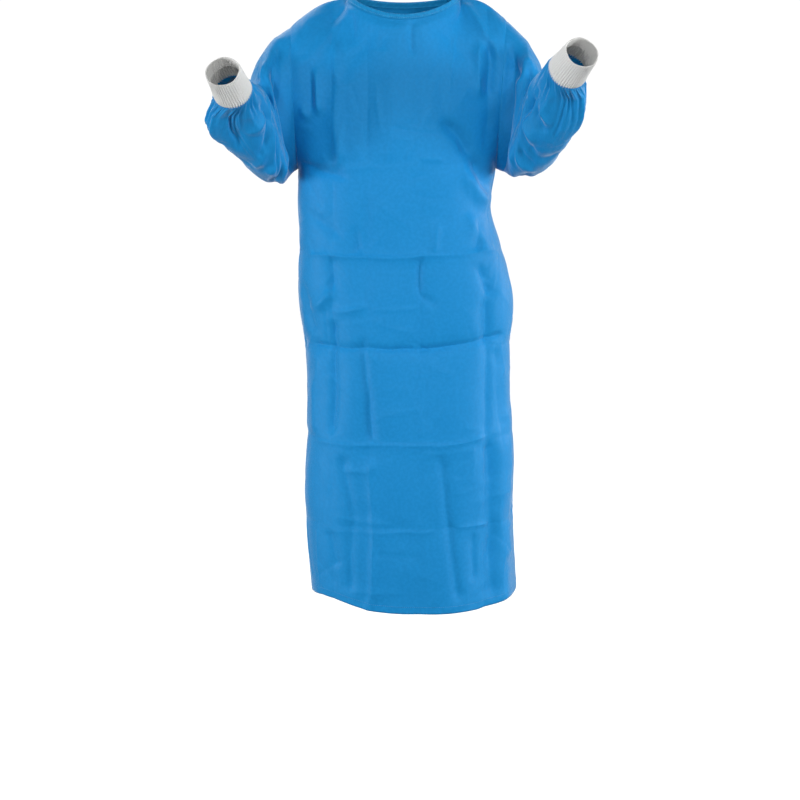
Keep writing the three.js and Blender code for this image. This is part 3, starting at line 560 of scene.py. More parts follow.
def close_steps(start, end, count, marks, reach, share):
    """Places from start to end that lie closer together near the marks."""
    fine = np.linspace(start, end, 4000)
    weight = 1 + share * np.sum([bell(fine - mark, reach) for mark in marks], axis=0)
    total = np.concatenate([[0], np.cumsum((weight[1:] + weight[:-1]) / 2)])
    return np.interp(np.linspace(0, total[-1], count), total, fine)


def panel_rows(grid, packed_at):
    """Rises from the hem to the shoulder, closer together at the folds across the skirt."""
    marks = [(z - UNDERARM_Z) / (UNDERARM_Z - HEM_Z) for z in packed_at["z"][1:]]
    skirt = close_steps(-1, 0, grid["body"], marks, reach=0.013, share=2.2)
    return np.concatenate([skirt[:-1], np.linspace(0, 1, grid["chest"])])


UNDERARM_ROWS = 30
UNDERARM_PASSES = 60
ARMHOLE_REACH = 40


def blend_underarm(points, rows):
    """Evens out the level of the underarm, where the skirt's rings meet the chest."""
    level = int(np.argmin(np.abs(rows)))
    window = slice(level - UNDERARM_ROWS, level + UNDERARM_ROWS + 1)
    smooth = points[window].copy()
    for _ in range(UNDERARM_PASSES):
        smooth[1:-1] = (smooth[:-2] + 2 * smooth[1:-1] + smooth[2:]) / 4
    share = np.cos(np.linspace(-1, 1, 2 * UNDERARM_ROWS + 1) * np.pi / 2)[:, None, None] ** 2
    inner = np.ones(points.shape[1])
    inner[0] = 0
    inner[-1] = 0
    points[window] = mix(points[window], smooth, share * inner[None, :, None])


def meet_armhole(points, rows, side, column):
    """Brings a panel's outer column onto the armhole, where the sleeve begins."""
    loop = armhole_angle(np.maximum(rows, 0), side)
    section = ARMHOLE_LEFT if column == 0 else ARMHOLE_RIGHT
    offset = (loop_point(section, loop) - points[:, column]) * (rows > 0)[:, None]
    sideways = cloth_lengths(points)[0]
    away = np.abs(sideways - sideways[:, [column]])
    points += offset[:, None, :] * (1 - ease(away / ARMHOLE_REACH))[..., None]


front_rows = panel_rows(FRONT_GRID, FRONT_PACKED_AT)
front_turns = close_steps(0, 1, FRONT_GRID["turns"], FRONT_FOLD_TURNS, reach=0.012, share=1.4)
front_points = body_points(front_turns[None, :], front_rows[:, None], -1)
hem_drop = np.interp(front_points[..., 0], HEM_LINE["x"], HEM_LINE["z"])
front_points[..., 2] += hem_drop * ease((-front_rows[:, None] - 0.72) / 0.28)
blend_underarm(front_points, front_rows)
meet_armhole(front_points, front_rows, -1, 0)
meet_armhole(front_points, front_rows, -1, -1)
x, z = front_points[..., 0], front_points[..., 2]
sideways, up = cloth_lengths(front_points)
from_side = np.minimum(sideways - sideways[:, [0]], sideways[:, [-1]] - sideways)
from_top = up[[-1]] - up
height = panel_relief(x, z, sideways, from_side, from_top, FRONT_CREASES, FRONT_PACKED_AT, FRONT_LOOK)
height += seam_pucker(from_side, z, 21, 0.5)
height += np.where(front_turns < NECK_CORNER, 1, 0) * seam_pucker(from_top, x, 23, 0.6)
height += np.where(front_turns > 1 - NECK_CORNER, 1, 0) * seam_pucker(from_top, x, 24, 0.6)
front_cloth = front_points + cloth_normals(front_points) * height[..., None]
front_normals = cloth_normals(front_cloth)
front_whole = np.concatenate([turned_hem(front_cloth, front_normals), front_cloth])
cloth_front = cloth_mesh("cloth_front", front_whole, gown_cloth)
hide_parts("front_panel_skirt", "front_panel_waist", "front_panel_chest")
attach(cloth_front, "root")

# Back halves: the same cloth in two pieces, sewn to the front at the side and shoulder seams.
# The half at image right laps over the other, and both are turned in along their free edges.
LEFT_HALF_ENDS = 0.6
RIGHT_HALF_STARTS = 0.4
LAP_RAMP = 0.066
LAP_PART = 2.4
LAP_HEM = {"columns": 8, "gap": 0.7}
BACK_CREASES = [
    (-180, -498, 176, -502, 2.4, 7, 1), (-184, -686, 20, -684, 2.8, 7, 1),
    (20, -684, 190, -680, 2.8, 7, 1), (-176, -872, 180, -870, 2.0, 7, 1),
    (-150, -1040, 168, -1044, 1.4, 7, 1), (-130, -330, 128, -334, 1.3, 7, 1),
    (-130, -560, -146, -1200, 4.4, 14, 0.4), (142, -560, 160, -1200, 4.8, 15, 0.4),
    (-100, -600, -96, -900, -3.8, 11, 0.6), (110, -620, 118, -1000, -3.8, 11, 0.6),
    (-140, -120, -132, -360, 3.8, 14, 0.3), (136, -110, 128, -350, 3.8, 14, 0.3),
    (-60, -60, -96, -240, -2.2, 12, 0.4), (70, -60, 102, -250, -2.2, 12, 0.4),
    (-150, -180, -90, -330, -3.0, 12, 0.4), (152, -170, 92, -320, -3.0, 12, 0.4),
    (-140, -430, -50, -462, -3.4, 9, 0.5), (-150, -520, -52, -482, -3.2, 9, 0.5),
    (-130, -400, -46, -452, 2.8, 10, 0.5), (136, -420, 34, -460, -3.4, 9, 0.5),
    (140, -520, 36, -484, -3.2, 9, 0.5), (128, -392, 30, -448, 2.8, 10, 0.5),
    (-62, -520, -70, -640, 3.4, 11, 0.4), (40, -520, 52, -640, 3.4, 11, 0.4),
    (-36, -500, -38, -690, -3.0, 10, 0.5), (74, -505, 88, -690, -3.0, 10, 0.5),
    (-68, -690, -74, -860, -2.8, 9, 0.7), (64, -690, 70, -862, 2.8, 9, 0.7),
    (-40, -900, -46, -1210, 3.6, 12, 0.5), (96, -890, 92, -1206, -3.2, 11, 0.5),
    (-176, -700, -170, -1190, -3.4, 12, 0.4), (186, -700, 196, -1190, -3.6, 12, 0.4),
    (20, -720, 22, -856, 1.8, 8, 1),
]
BACK_PACKED_AT = {"x": (-134, -68, 36, 134), "z": (-332, -500, -684, -871, -1042)}
BACK_GRID = {"body": 260, "chest": 90, "turns": 150}
BACK_LOOK = {
    "crease_seed": 71, "field_high": 4.0, "field_seed": 72, "wrinkles": 170, "wrinkle_seed": 81,
    "wrinkle_box": (-215, 215, -1215, -30), "uneven_seed": 13, "wave_high": 3.0, "wave_long": 30,
    "wave_seed": 18, "wave_from": 860, "wave_over": 330,
}
TAB_REST = {"from": 0.32, "to": 0.54, "ramp": 0.04, "deep": 70, "fade": 25}
KNOT_REST = {"x": -12, "z": -470, "reach": 26}


def lap_push(turn, half):
    """How far a half stands off the body's form where the two lap: one inward, one outward."""
    if half < 0:
        return -LAP_PART * ease((turn - RIGHT_HALF_STARTS + LAP_RAMP) / LAP_RAMP)
    return LAP_PART * ease((LEFT_HALF_ENDS + LAP_RAMP - turn) / LAP_RAMP)


def flat_rests(turns, x, z, from_top):
    """Share of the relief that stays: none of it under the neck tab and the knot of the ties."""
    beside = ease((turns - TAB_REST["from"]) / TAB_REST["ramp"])
    beside = beside * ease((TAB_REST["to"] - turns) / TAB_REST["ramp"])
    under_tab = beside[None, :] * ease((TAB_REST["deep"] - from_top) / TAB_REST["fade"])
    from_knot = ((x - KNOT_REST["x"]) ** 2 + (z - KNOT_REST["z"]) ** 2) / KNOT_REST["reach"] ** 2
    return (1 - under_tab) * (1 - np.exp(-(from_knot**2)))


back_cloths = {}
for name, node, half, first_turn, last_turn, seed in (
    ("cloth_back_left", "back_left", -1, 0.0, LEFT_HALF_ENDS, 41),
    ("cloth_back_right", "back_right", 1, RIGHT_HALF_STARTS, 1.0, 61),
):
    rows = panel_rows(BACK_GRID, BACK_PACKED_AT)
    turns = np.linspace(first_turn, last_turn, BACK_GRID["turns"])
    points = body_points(turns[None, :], rows[:, None], 1)
    blend_underarm(points, rows)
    meet_armhole(points, rows, 1, 0 if half < 0 else -1)
    x, z = points[..., 0], points[..., 2]
    sideways, up = cloth_lengths(points)
    run = sideways - sideways[:, [0]]
    rest = run[:, [-1]] - run
    from_seam, from_edge = (run, rest) if half < 0 else (rest, run)
    from_top = up[[-1]] - up
    height = panel_relief(x, z, x, from_seam, from_top, BACK_CREASES, BACK_PACKED_AT, BACK_LOOK)
    height *= flat_rests(turns, x, z, from_top)
    height += lap_push(turns, half)[None, :]
    free_wave = 0.9 * np.sin(z / 47 + 2 * soft_wave(z, 80, seed)) * bell(from_edge, 26)
    height += np.maximum(free_wave, 0) * half * 0.9
    height += seam_pucker(from_seam, z, seed + 1)
    at_shoulder = turns < NECK_CORNER if half < 0 else turns > 1 - NECK_CORNER
    height += np.where(at_shoulder, 1, 0) * seam_pucker(from_top, x, seed + 2, 0.6)
    cloth = points - cloth_normals(points) * height[..., None]
    outward = -cloth_normals(cloth)
    back_cloths[half] = {"turns": turns, "cloth": cloth, "normals": outward}
    whole = np.concatenate([turned_hem(cloth, outward), cloth])
    whole_normals = np.concatenate([outward[:HEM_ROWS][::-1], outward])
    edge = slice(-LAP_HEM["columns"], None) if half < 0 else slice(None, LAP_HEM["columns"])
    facing = (whole[:, edge] - whole_normals[:, edge] * LAP_HEM["gap"])[:, ::-1]
    whole = np.concatenate([whole, facing] if half < 0 else [facing, whole], 1)
    piece = cloth_mesh(name, whole, gown_cloth, flip=True)
    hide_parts(*(f"{node}_{part}" for part in ("skirt", "waist", "chest")))
    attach(piece, "root")

# Set-in sleeves: one bent tube of the same cloth on each side, sewn into the armhole.
# It creases in the crook of the elbow and is gathered by machine into the knit cuff.
SLEEVE_LEFT = {
    "outer": [
        (-220, 0, -64), (-256, -4, -90), (-282, -14, -123), (-296, -34, -166), (-306, -68, -206),
        (-320, -112, -228), (-339, -162, -236), (-354, -214, -232), (-361, -258, -220),
        (-352, -274, -202),
    ],
    "front": [
        (-214, -82, -200), (-231, -98, -190), (-245, -112, -192), (-254, -121, -199), (-260, -129, -205),
        (-266, -150, -200), (-276, -184, -189), (-286, -222, -177), (-294, -256, -165),
        (-296, -266, -166),
    ],
    "under": [
        (-208, 0, -340), (-218, -24, -348), (-224, -50, -355), (-227, -76, -358), (-229, -104, -356),
        (-230, -134, -338), (-236, -170, -302), (-250, -214, -262), (-265, -256, -225),
        (-273, -286, -207),
    ],
    "back": [
        (-214, 82, -200), (-246, 80, -215), (-271, 64, -247), (-286, 38, -284), (-289, -4, -318),
        (-285, -64, -342), (-286, -132, -342), (-309, -200, -308), (-334, -252, -272), (-331, -286, -240),
    ],
}
SLEEVE_RIGHT = {
    "outer": [
        (203, 0, -52), (236, -5, -83), (257, -15, -112), (271, -34, -150), (283, -68, -188),
        (298, -112, -210), (313, -162, -216), (327, -214, -206), (333, -260, -186), (331, -276, -164),
    ],
    "front": [
        (190, -80, -190), (208, -96, -180), (222, -111, -180), (233, -122, -185), (241, -131, -190),
        (249, -152, -182), (260, -186, -166), (271, -224, -148), (280, -258, -130), (284, -268, -127),
    ],
    "under": [
        (184, 0, -340), (195, -24, -344), (202, -50, -345), (206, -76, -345), (209, -104, -341),
        (213, -134, -318), (221, -170, -278), (235, -216, -234), (251, -260, -193), (260, -290, -170),
    ],
    "back": [
        (192, 82, -195), (224, 80, -207), (250, 64, -240), (266, 38, -278), (273, -4, -310),
        (276, -64, -330), (280, -132, -328), (296, -200, -294), (313, -254, -248), (314, -288, -207),
    ],
}
CUFF_LEFT = {"at": (-312, -297, -190), "along": (-0.21, -0.81, 0.55), "wide": 35, "narrow": 31, "long": 66}
CUFF_RIGHT = {"at": (300, -297, -153), "along": (0.33, -0.80, 0.50), "wide": 36, "narrow": 31, "long": 66}
# Sleeve creases: from angle and distance along, to angle and distance, height, width, sharpness.
# Angle 0 is the top outer line, 90 the front, 180 the underside, 270 the back, in degrees.
SLEEVE_CREASES_LEFT = [
    (40, 205, 128, 196, -3.2, 10, 0.5), (52, 224, 140, 222, 2.6, 11, 0.5),
    (46, 240, 132, 244, -3.0, 10, 0.5), (30, 186, 112, 176, 3.6, 11, 0.5),
    (60, 262, 150, 274, 3.2, 11, 0.5), (20, 160, 100, 150, -3.0, 12, 0.4),
    (110, 120, 150, 190, -3.6, 12, 0.4), (140, 90, 178, 170, 3.4, 13, 0.4),
    (60, 60, 112, 130, 3.0, 12, 0.4), (10, 40, 30, 120, -2.6, 13, 0.4), (350, 60, 8, 150, 2.6, 13, 0.3),
    (200, 100, 240, 190, -2.8, 12, 0.4), (230, 150, 300, 210, 3.0, 13, 0.4),
    (210, 230, 290, 250, -2.8, 12, 0.4), (250, 70, 280, 150, 2.8, 13, 0.4),
    (320, 100, 300, 190, -2.6, 12, 0.4), (0, 230, 330, 330, 2.6, 13, 0.4),
    (30, 280, 350, 370, -3.0, 12, 0.4), (90, 300, 60, 380, 3.4, 12, 0.4),
    (120, 300, 130, 390, -3.4, 11, 0.4), (200, 300, 220, 390, 3.2, 12, 0.4),
    (250, 300, 262, 396, -3.4, 11, 0.4), (300, 290, 300, 380, 3.0, 12, 0.4),
    (160, 250, 176, 330, -3.0, 11, 0.4), (168, 285, 232, 262, -4.0, 10, 0.6),
    (172, 300, 228, 318, 3.6, 10, 0.6), (150, 270, 200, 235, 3.4, 11, 0.5),
    (160, 240, 214, 205, -3.4, 11, 0.5), (236, 330, 262, 290, -2.6, 9, 0.5),
    (48, 60, 60, 110, 3.2, 10, 0.5), (60, 40, 85, 70, -4.0, 9, 0.6), (40, 90, 70, 120, -3.6, 10, 0.5),
    (75, 60, 95, 108, 3.6, 9, 0.6), (210, 270, 262, 236, 3.2, 10, 0.5),
    (182, 175, 236, 190, -3.2, 11, 0.5), (186, 205, 240, 226, 3.0, 11, 0.5),
]
SLEEVE_CREASES_RIGHT = [
    (44, 200, 130, 190, -3.3, 10, 0.5), (54, 220, 142, 216, 2.8, 11, 0.5),
    (48, 238, 136, 240, -3.0, 10, 0.5), (28, 182, 110, 170, 3.8, 11, 0.5),
    (58, 258, 152, 268, 3.4, 11, 0.5), (22, 156, 102, 146, -3.2, 12, 0.4),
    (108, 118, 152, 186, -3.8, 12, 0.4), (138, 88, 176, 168, 3.6, 13, 0.4),
    (64, 56, 110, 128, 3.2, 12, 0.4), (12, 44, 28, 124, -2.8, 13, 0.4), (352, 56, 6, 146, 2.8, 13, 0.3),
    (204, 96, 236, 186, -2.6, 12, 0.4), (232, 148, 302, 206, 3.2, 13, 0.4),
    (214, 226, 286, 246, -3.0, 12, 0.4), (252, 72, 284, 146, 2.6, 13, 0.4),
    (318, 104, 298, 186, -2.8, 12, 0.4), (358, 232, 328, 326, 2.8, 13, 0.4),
    (28, 276, 352, 366, -3.2, 12, 0.4), (88, 296, 64, 376, 3.6, 12, 0.4),
    (118, 298, 132, 386, -3.2, 11, 0.4), (202, 298, 218, 386, 3.4, 12, 0.4),
    (248, 296, 264, 392, -3.2, 11, 0.4), (298, 288, 302, 376, 3.2, 12, 0.4),
    (162, 246, 174, 326, -3.2, 11, 0.4), (196, 320, 228, 312, 4.6, 9, 0.7),
    (185, 300, 226, 294, -4.6, 9, 0.6), (250, 300, 252, 352, 3.6, 10, 0.6),
    (171, 293, 165, 231, -5.0, 10, 0.5), (165, 240, 216, 262, 3.6, 10, 0.6),
    (170, 222, 224, 240, -3.8, 10, 0.6), (60, 44, 58, 92, 4.6, 12, 0.5), (64, 12, 80, 52, -5.0, 9, 0.5),
    (84, 42, 92, 74, 4.0, 9, 0.6), (70, 70, 82, 116, -4.0, 10, 0.6), (180, 180, 240, 196, 3.2, 11, 0.5),
    (186, 204, 238, 214, -3.4, 11, 0.5),
]
# The valley beside the front of the armhole, where the sleeve drops behind the front panel.
ARMHOLE_VALLEY_LEFT = [
    (36, 16, 76, 34, -17, 15, 0.5), (74, 34, 116, 42, -29, 18, 0.5), (112, 40, 168, 36, -24, 16, 0.5),
]
ARMHOLE_VALLEY_RIGHT = [
    (50, 16, 90, 20, -17, 13, 0.5), (86, 20, 116, 28, -29, 16, 0.5), (110, 28, 168, 40, -24, 15, 0.5),
]
SLEEVE_GRID = {"angles": 230, "places": 190, "closing": 24}
SLEEVE_END = {"past": 1.5, "lift": 1.2}
SLEEVE_RELAX = {"passes": 10, "at": 34, "wide": 22, "share": 0.8}
SLEEVE_RADIUS = 70
SLEEVE_CREASE_SCALE = 2.3
SLEEVE_WRINKLE_BOX = (-80, 190, -30, 430)
MM_PER_DEGREE = 1.22
CUFF_GATHERS = 23
GATHER_HIGH = 2.5
FINE_GATHER_HIGH = 0.8


def smooth_rows(rows, place):
    """Rows of a table at places between them, on smooth curves through the rows."""
    rows = np.array(rows, float)
    last = len(rows) - 1
    low = np.clip(np.floor(place).astype(int), 0, last - 1)
    before, after = rows[np.maximum(low - 1, 0)], rows[np.minimum(low + 2, last)]
    start, end = rows[low], rows[low + 1]
    return smooth_curve(start, end, (end - before) / 2, (after - start) / 2, (place - low)[:, None])


def cuff_axes(cuff):
    along = np.array(cuff["along"], float)
    along /= np.linalg.norm(along)
    outer = np.array([np.sign(cuff["at"][0]), 0, 0], float)
    outer -= along * outer.dot(along)
    outer /= np.linalg.norm(outer)
    top = np.cross(outer, along)
    return along, outer, top if top[2] > 0 else -top


def cuff_ring(cuff, distance, radius, angle):
    along, outer, top = cuff_axes(cuff)
    angle = np.asarray(angle)[..., None]
    across = outer * np.cos(angle) + top * np.sin(angle)
    return np.array(cuff["at"], float) + along * distance + radius * across


def sleeve_form(table, cuff, angles):
    """The tube of a sleeve without creases, from the armhole to its end on the cuff."""
    places = np.linspace(0, len(table["outer"]) - 1, SLEEVE_GRID["places"])
    section = {k: smooth_rows(table[k], places)[:, None, :] for k in table}
    points = loop_point(section, angles[None, :])
    end = cuff_ring(cuff, SLEEVE_END["past"], cuff["wide"] + SLEEVE_END["lift"], angles)
    closing = [mix(points[-1], end, t) for t in np.linspace(0, 1, SLEEVE_GRID["closing"] + 1)[1:]]
    return np.concatenate([points, np.array(closing)])


def relax(points, to_cuff):
    """Evens out the tube where it is drawn in to the cuff."""
    near = bell(to_cuff - SLEEVE_RELAX["at"], SLEEVE_RELAX["wide"])[..., None]
    for _ in range(SLEEVE_RELAX["passes"]):
        round_it = (np.roll(points, 1, 1) + np.roll(points, -1, 1)) / 2
        smooth = points.copy()
        smooth[1:-1] = (points[:-2] + points[2:] + 2 * round_it[1:-1]) / 4
        points = mix(points, smooth, near * SLEEVE_RELAX["share"])
    return points


def sleeve_relief(angles, along, to_cuff, lines, valley, seed):
    """Height of a sleeve's creases and wrinkles, and of its valley at the armhole."""
    round_mm = np.degrees(angles)[None, :] * MM_PER_DEGREE + np.zeros_like(along)
    height = np.zeros_like(along)
    for k, (angle_a, along_a, angle_b, along_b, high, wide, sharp) in enumerate(lines):
        if abs(angle_b - angle_a) > 180:
            angle_b += 360 if angle_b < angle_a else -360
        for shift in (-360, 0, 360):
            start, end = (angle_a + shift) * MM_PER_DEGREE, (angle_b + shift) * MM_PER_DEGREE
            line = (start, along_a, end, along_b, high, wide, sharp)
            height += SLEEVE_CREASE_SCALE * crease_height(round_mm, along, line, seed + 5 * k)
    around_x = SLEEVE_RADIUS * np.cos(angles)[None, :] + along * 0
    around_y = SLEEVE_RADIUS * np.sin(angles)[None, :] + along * 0
    height += handling_wrinkles(
        around_x + 0.3 * along, along + 0.4 * around_y, seed + 60, 100, SLEEVE_WRINKLE_BOX, 0.3, 1.4)
    height += 1.0 * soft_noise(around_x + along, along + around_y, 60, seed + 61)
    height *= ease(along / 26) * ease((to_cuff - 4) / 30)
    for angle_a, along_a, angle_b, *rest in valley:
        line = (angle_a * MM_PER_DEGREE, along_a, angle_b * MM_PER_DEGREE, *rest)
        height += ease(along / 9) * crease_height(round_mm, along, line, seed + 90)
    return height


def cuff_gathers(angles, to_cuff, seed):
    """Height of the gathers that run out of the cuff, each with its own size and length."""
    rng = np.random.default_rng(seed)
    shifted = 0.10 * np.sin(3 * angles + rng.uniform(0, 6)) + 0.06 * np.sin(7 * angles + 1.3)
    phases = CUFF_GATHERS * (angles + shifted)[None, :]
    sizes = 0.72 + 0.28 * np.sin(5 * angles + rng.uniform(0, 6))[None, :]
    reach = (46 + 16 * np.sin(4 * angles + rng.uniform(0, 6)) + 9 * np.sin(9 * angles + 2))[None, :]
    rise = ease(to_cuff / 16) * bell(np.maximum(to_cuff - 8, 0), reach)
    fine = FINE_GATHER_HIGH * bell(to_cuff, 20) * ease(to_cuff / 5) * np.cos(2 * phases + 1.1)
    return GATHER_HIGH * sizes * rise * np.cos(phases) + fine


sleeve_cloths = {}
for name, node, table, cuff, lines, valley, hand, seed in (
    ("cloth_sleeve_left", "sleeve_left", SLEEVE_LEFT, CUFF_LEFT,
     SLEEVE_CREASES_LEFT, ARMHOLE_VALLEY_LEFT, -1, 101),
    ("cloth_sleeve_right", "sleeve_right", SLEEVE_RIGHT, CUFF_RIGHT,
     SLEEVE_CREASES_RIGHT, ARMHOLE_VALLEY_RIGHT, 1, 131),
):
    angles = np.linspace(0, 2 * np.pi, SLEEVE_GRID["angles"], endpoint=False)
    points = sleeve_form(table, cuff, angles)
    along = run_along(points.mean(1))[:, None] + np.zeros((1, len(angles)))
    to_cuff = along[-1] - along
    points = relax(points, to_cuff)
    height = sleeve_relief(angles, along, to_cuff, lines, valley, seed)
    height += cuff_gathers(angles, to_cuff, seed + 70)
    height += seam_pucker(along, np.degrees(angles)[None, :] * 1.3 + along * 0, seed + 71, 0.4)
    tube = points + hand * cloth_normals(points, closed=True) * height[..., None]
    sleeve_cloths[hand] = {"cloth": tube, "normals": hand * cloth_normals(tube, closed=True)}
    piece = cloth_mesh(name, tube, gown_cloth, closed=True, flip=hand < 0)
    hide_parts(*(f"{node}_{part}" for part in ("shoulder", "upper", "elbow", "fore")))
    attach(piece, "root")

# Knit cuffs: white rib knit, a double tube folded at its open end, sewn to the gathered sleeve.
# The ribs run along the forearm, and the knit narrows a little towards the hand.
CUFF_RIBS = 48
CUFF_RIB_HIGH = 0.8
CUFF_GRID = {"per_rib": 6, "face": 46, "fold": 7, "lining": 8}
CUFF_FACE = 0.9
CUFF_LINING = {"in": 1.3, "rib": 0.25, "long": 26}
CUFF_TUCK = 1.2
CUFF_FOLD = {"back": 2.2, "deep": 1.6}
LOOP_WIDE = 0.00115
LOOP_HIGH = 0.0016
knit, given, knit_end = new_group("rib_knit", {"Place": "NodeSocketVector"}, ("Loops", "Fuzz"))
apart = new_node(knit, "ShaderNodeSeparateXYZ", {0: given["Place"]})
slant = math_value(knit, "PINGPONG", apart.outputs["X"], LOOP_WIDE)
lean = math_value(knit, "MULTIPLY_ADD", slant, 1.1, apart.outputs["Y"])
loops = math_value(knit, "SINE", math_value(knit, "MULTIPLY", lean, 2 * math.pi / LOOP_HIGH))
fuzz = new_node(knit, "ShaderNodeTexNoise", {"Vector": given["Place"], "Scale": 1600, "Detail": 3})
connect(knit, knit_end, {"Loops": shape_value(knit, loops, -1, 1), "Fuzz": fuzz.outputs["Fac"]})

cuff_knit, tree, shader = new_material("cuff_knit")
ribbed = new_node(tree, "ShaderNodeGroup", {"Place": place_on_cloth(tree)}, node_tree=knit).outputs
knit_height = math_value(tree, "MULTIPLY_ADD", ribbed["Fuzz"], 0.4, ribbed["Loops"])
connect(tree, shader, {
    "Base Color": two_tones(tree, ribbed["Loops"], (0.64, 0.645, 0.63, 1), (0.88, 0.875, 0.85, 1)),
    "Roughness": shape_value(tree, ribbed["Fuzz"], 0.3, 0.7, 0.78, 0.95),
    "Sheen Weight": 0.3,
    "Sheen Roughness": 0.5,
    "Specular IOR Level": 0.2,
    "Normal": bump(tree, Height=knit_height, Distance=0.00035),
})

for name, node, cuff, hand in (
    ("knit_cuff_left", "cuff_left", CUFF_LEFT, -1),
    ("knit_cuff_right", "cuff_right", CUFF_RIGHT, 1),
):
    angles = np.linspace(0, 2 * np.pi, CUFF_RIBS * CUFF_GRID["per_rib"], endpoint=False)
    ribs = np.cos(CUFF_RIBS * angles)
    slack = 0.9 * np.sin(2 * angles + 0.6) + 0.5 * np.sin(5 * angles)
    fold_at = cuff["long"] - CUFF_FOLD["back"]
    rings = []
    for t in np.linspace(0, 1, CUFF_GRID["face"]):
        settle = 0.5 * math.sin(t * 9.0) * (1 - t)
        radius = mix(cuff["wide"], cuff["narrow"], t) + CUFF_FACE + settle
        proud = CUFF_RIB_HIGH * ribs + slack * (0.3 + 0.7 * t)
        rings.append((t * (cuff["long"] - 1) - CUFF_TUCK, radius + proud))
    for t in np.linspace(0, 1, CUFF_GRID["fold"])[1:]:
        radius = cuff["narrow"] + mix(CUFF_FACE, -CUFF_LINING["in"], (1 - math.cos(t * math.pi)) / 2)
        distance = fold_at + CUFF_FOLD["deep"] * math.sin(t * math.pi)
        rings.append((distance, radius + CUFF_RIB_HIGH * ribs * (1 - t) + slack))
    for t in np.linspace(0, 1, CUFF_GRID["lining"])[1:]:
        radius = cuff["narrow"] - CUFF_LINING["in"] + CUFF_LINING["rib"] * ribs + slack
        rings.append((fold_at - CUFF_LINING["long"] * t, radius))
    tube = np.array([cuff_ring(cuff, distance, radius[:, None], angles) for distance, radius in rings])
    piece = cloth_mesh(name, tube, cuff_knit, closed=True, flip=hand < 0)
    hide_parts(node)
    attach(piece, "root")

# Neck binding: one narrow strip of the same cloth folded over the neck edge and sewn through.
# It stands up a little all round and starts and ends at the lapped edges of the back.
BINDING_HIGH = 9.0
BINDING_LIFT = 0.7
BINDING_LEAN = (0.92, 0.39)
BINDING_STITCHES = {"up": 1.5, "out": 1.05}
NECK_MIDDLE = (1, -8, 0)
NECK_STEPS = {"back": 70, "front": 150}
# The section of the folded strip: part of its height, and distance out from the neck edge.
BINDING_SECTION = (
    (-0.24, 1.5), (-0.16, 1.75), (-0.04, 1.45), (0.1, 1.0), (0.3, 1.05), (0.55, 1.1), (0.8, 1.05),
    (0.93, 0.8), (1.0, 0.3), (1.0, -0.3), (0.93, -0.75), (0.8, -0.95), (0.5, -1.0), (0.2, -0.95),
    (0.02, -1.0), (-0.22, -1.5),
)
BINDING_DEEP = (0.003, 0.195, 0.455, 1)
BINDING_BASE = (0.004, 0.215, 0.490, 1)
BINDING_PALE = (0.007, 0.240, 0.525, 1)
binding_cloth = gown_material("neck_binding_cloth", BINDING_DEEP, BINDING_BASE, BINDING_PALE, 0.0004)


def back_neck_edge(turns, half):
    """The neck edge of a back half, as far off the body's form as the half lies there."""
    step = 0.004
    top = np.ones_like(turns)
    edge = body_points(turns, top, 1)
    across = body_points(turns + step, top, 1) - body_points(turns - step, top, 1)
    up = edge - body_points(turns, top - 0.02, 1)
    return edge + unit(np.cross(up, across)) * lap_push(turns, half)[:, None]


front_neck_turns = np.linspace(NECK_CORNER, 1 - NECK_CORNER, NECK_STEPS["front"])[1:-1]
neck_path = np.concatenate([
    back_neck_edge(np.linspace(LEFT_HALF_ENDS, NECK_CORNER, NECK_STEPS["back"]), -1)[:-1],
    body_points(front_neck_turns, np.ones_like(front_neck_turns), -1),
    back_neck_edge(np.linspace(1 - NECK_CORNER, RIGHT_HALF_STARTS, NECK_STEPS["back"]), 1)[1:],
])
for _ in range(4):
    neck_path[1:-1] = (neck_path[:-2] + 2 * neck_path[1:-1] + neck_path[2:]) / 4
neck_out = neck_path - np.array(NECK_MIDDLE)
neck_out[:, 2] = 0
neck_out = unit(neck_out)
neck_up = unit(np.array([0, 0, BINDING_LEAN[0]]) - BINDING_LEAN[1] * neck_out)
neck_side = unit(np.cross(unit(np.gradient(neck_path, axis=0)), neck_up))
neck_side *= np.sign((neck_side * neck_out).sum(-1, keepdims=True))
neck_along = run_along(neck_path)
strip = []
for t, out in BINDING_SECTION:
    ripple = 0.3 * soft_noise(neck_along, neck_along * 0 + 9 * t, 9, 201) * (1 if out > 0 else 0.6)
    lay = BINDING_LIFT + (t + 0.012 * soft_wave(neck_along, 40, 202)) * BINDING_HIGH
    strip.append(neck_path + neck_up * lay[:, None] + neck_side * (out + ripple)[:, None])
binding = cloth_mesh("neck_binding_strip", np.array(strip), binding_cloth)
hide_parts("neck_binding")
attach(binding, "root")

# Waist ties: two folded strips of the same cloth that lie on the back halves and meet in a plain
# knot, with two short tails hanging under it. The image-left one comes out from under the lap.
TIE_Z = -470.0
TIE_WIDE = 24.0
TIE_WALL = 1.2
TIE_LINES = 11
TIE_EDGE = 0.25
TIE_STARTS = {-1: 0.15, 1: 0.85}
TIE_STEPS = 110
TAIL_LONG = 150
TAIL_STEPS = 80
TAIL_TOP_WIDE = 12.0
KNOT_WIDE = 15.4
KNOT_DEEP = 6.5
KNOT_HIGH = 14.0
KNOT_GRID = {"round": 132, "down": 84}
# The solids are walls of this thickness round the body's form, and pieces rest on them at a gap.
SOLID_WALL = 1.6
SOLID_GAP = 0.3
REST_GAP = 0.35
TIE_SEAT = SOLID_WALL / 2 + SOLID_GAP + TIE_WALL / 2 + REST_GAP
KNOT_SEAT = SOLID_WALL / 2 + SOLID_GAP + KNOT_DEEP + REST_GAP
TIE_DEEP = (0.002, 0.185, 0.440, 1)
TIE_BASE = (0.003, 0.205, 0.475, 1)
TIE_PALE = (0.005, 0.230, 0.510, 1)
tie_cloth = gown_material("tie_cloth", TIE_DEEP, TIE_BASE, TIE_PALE, 0.0005)


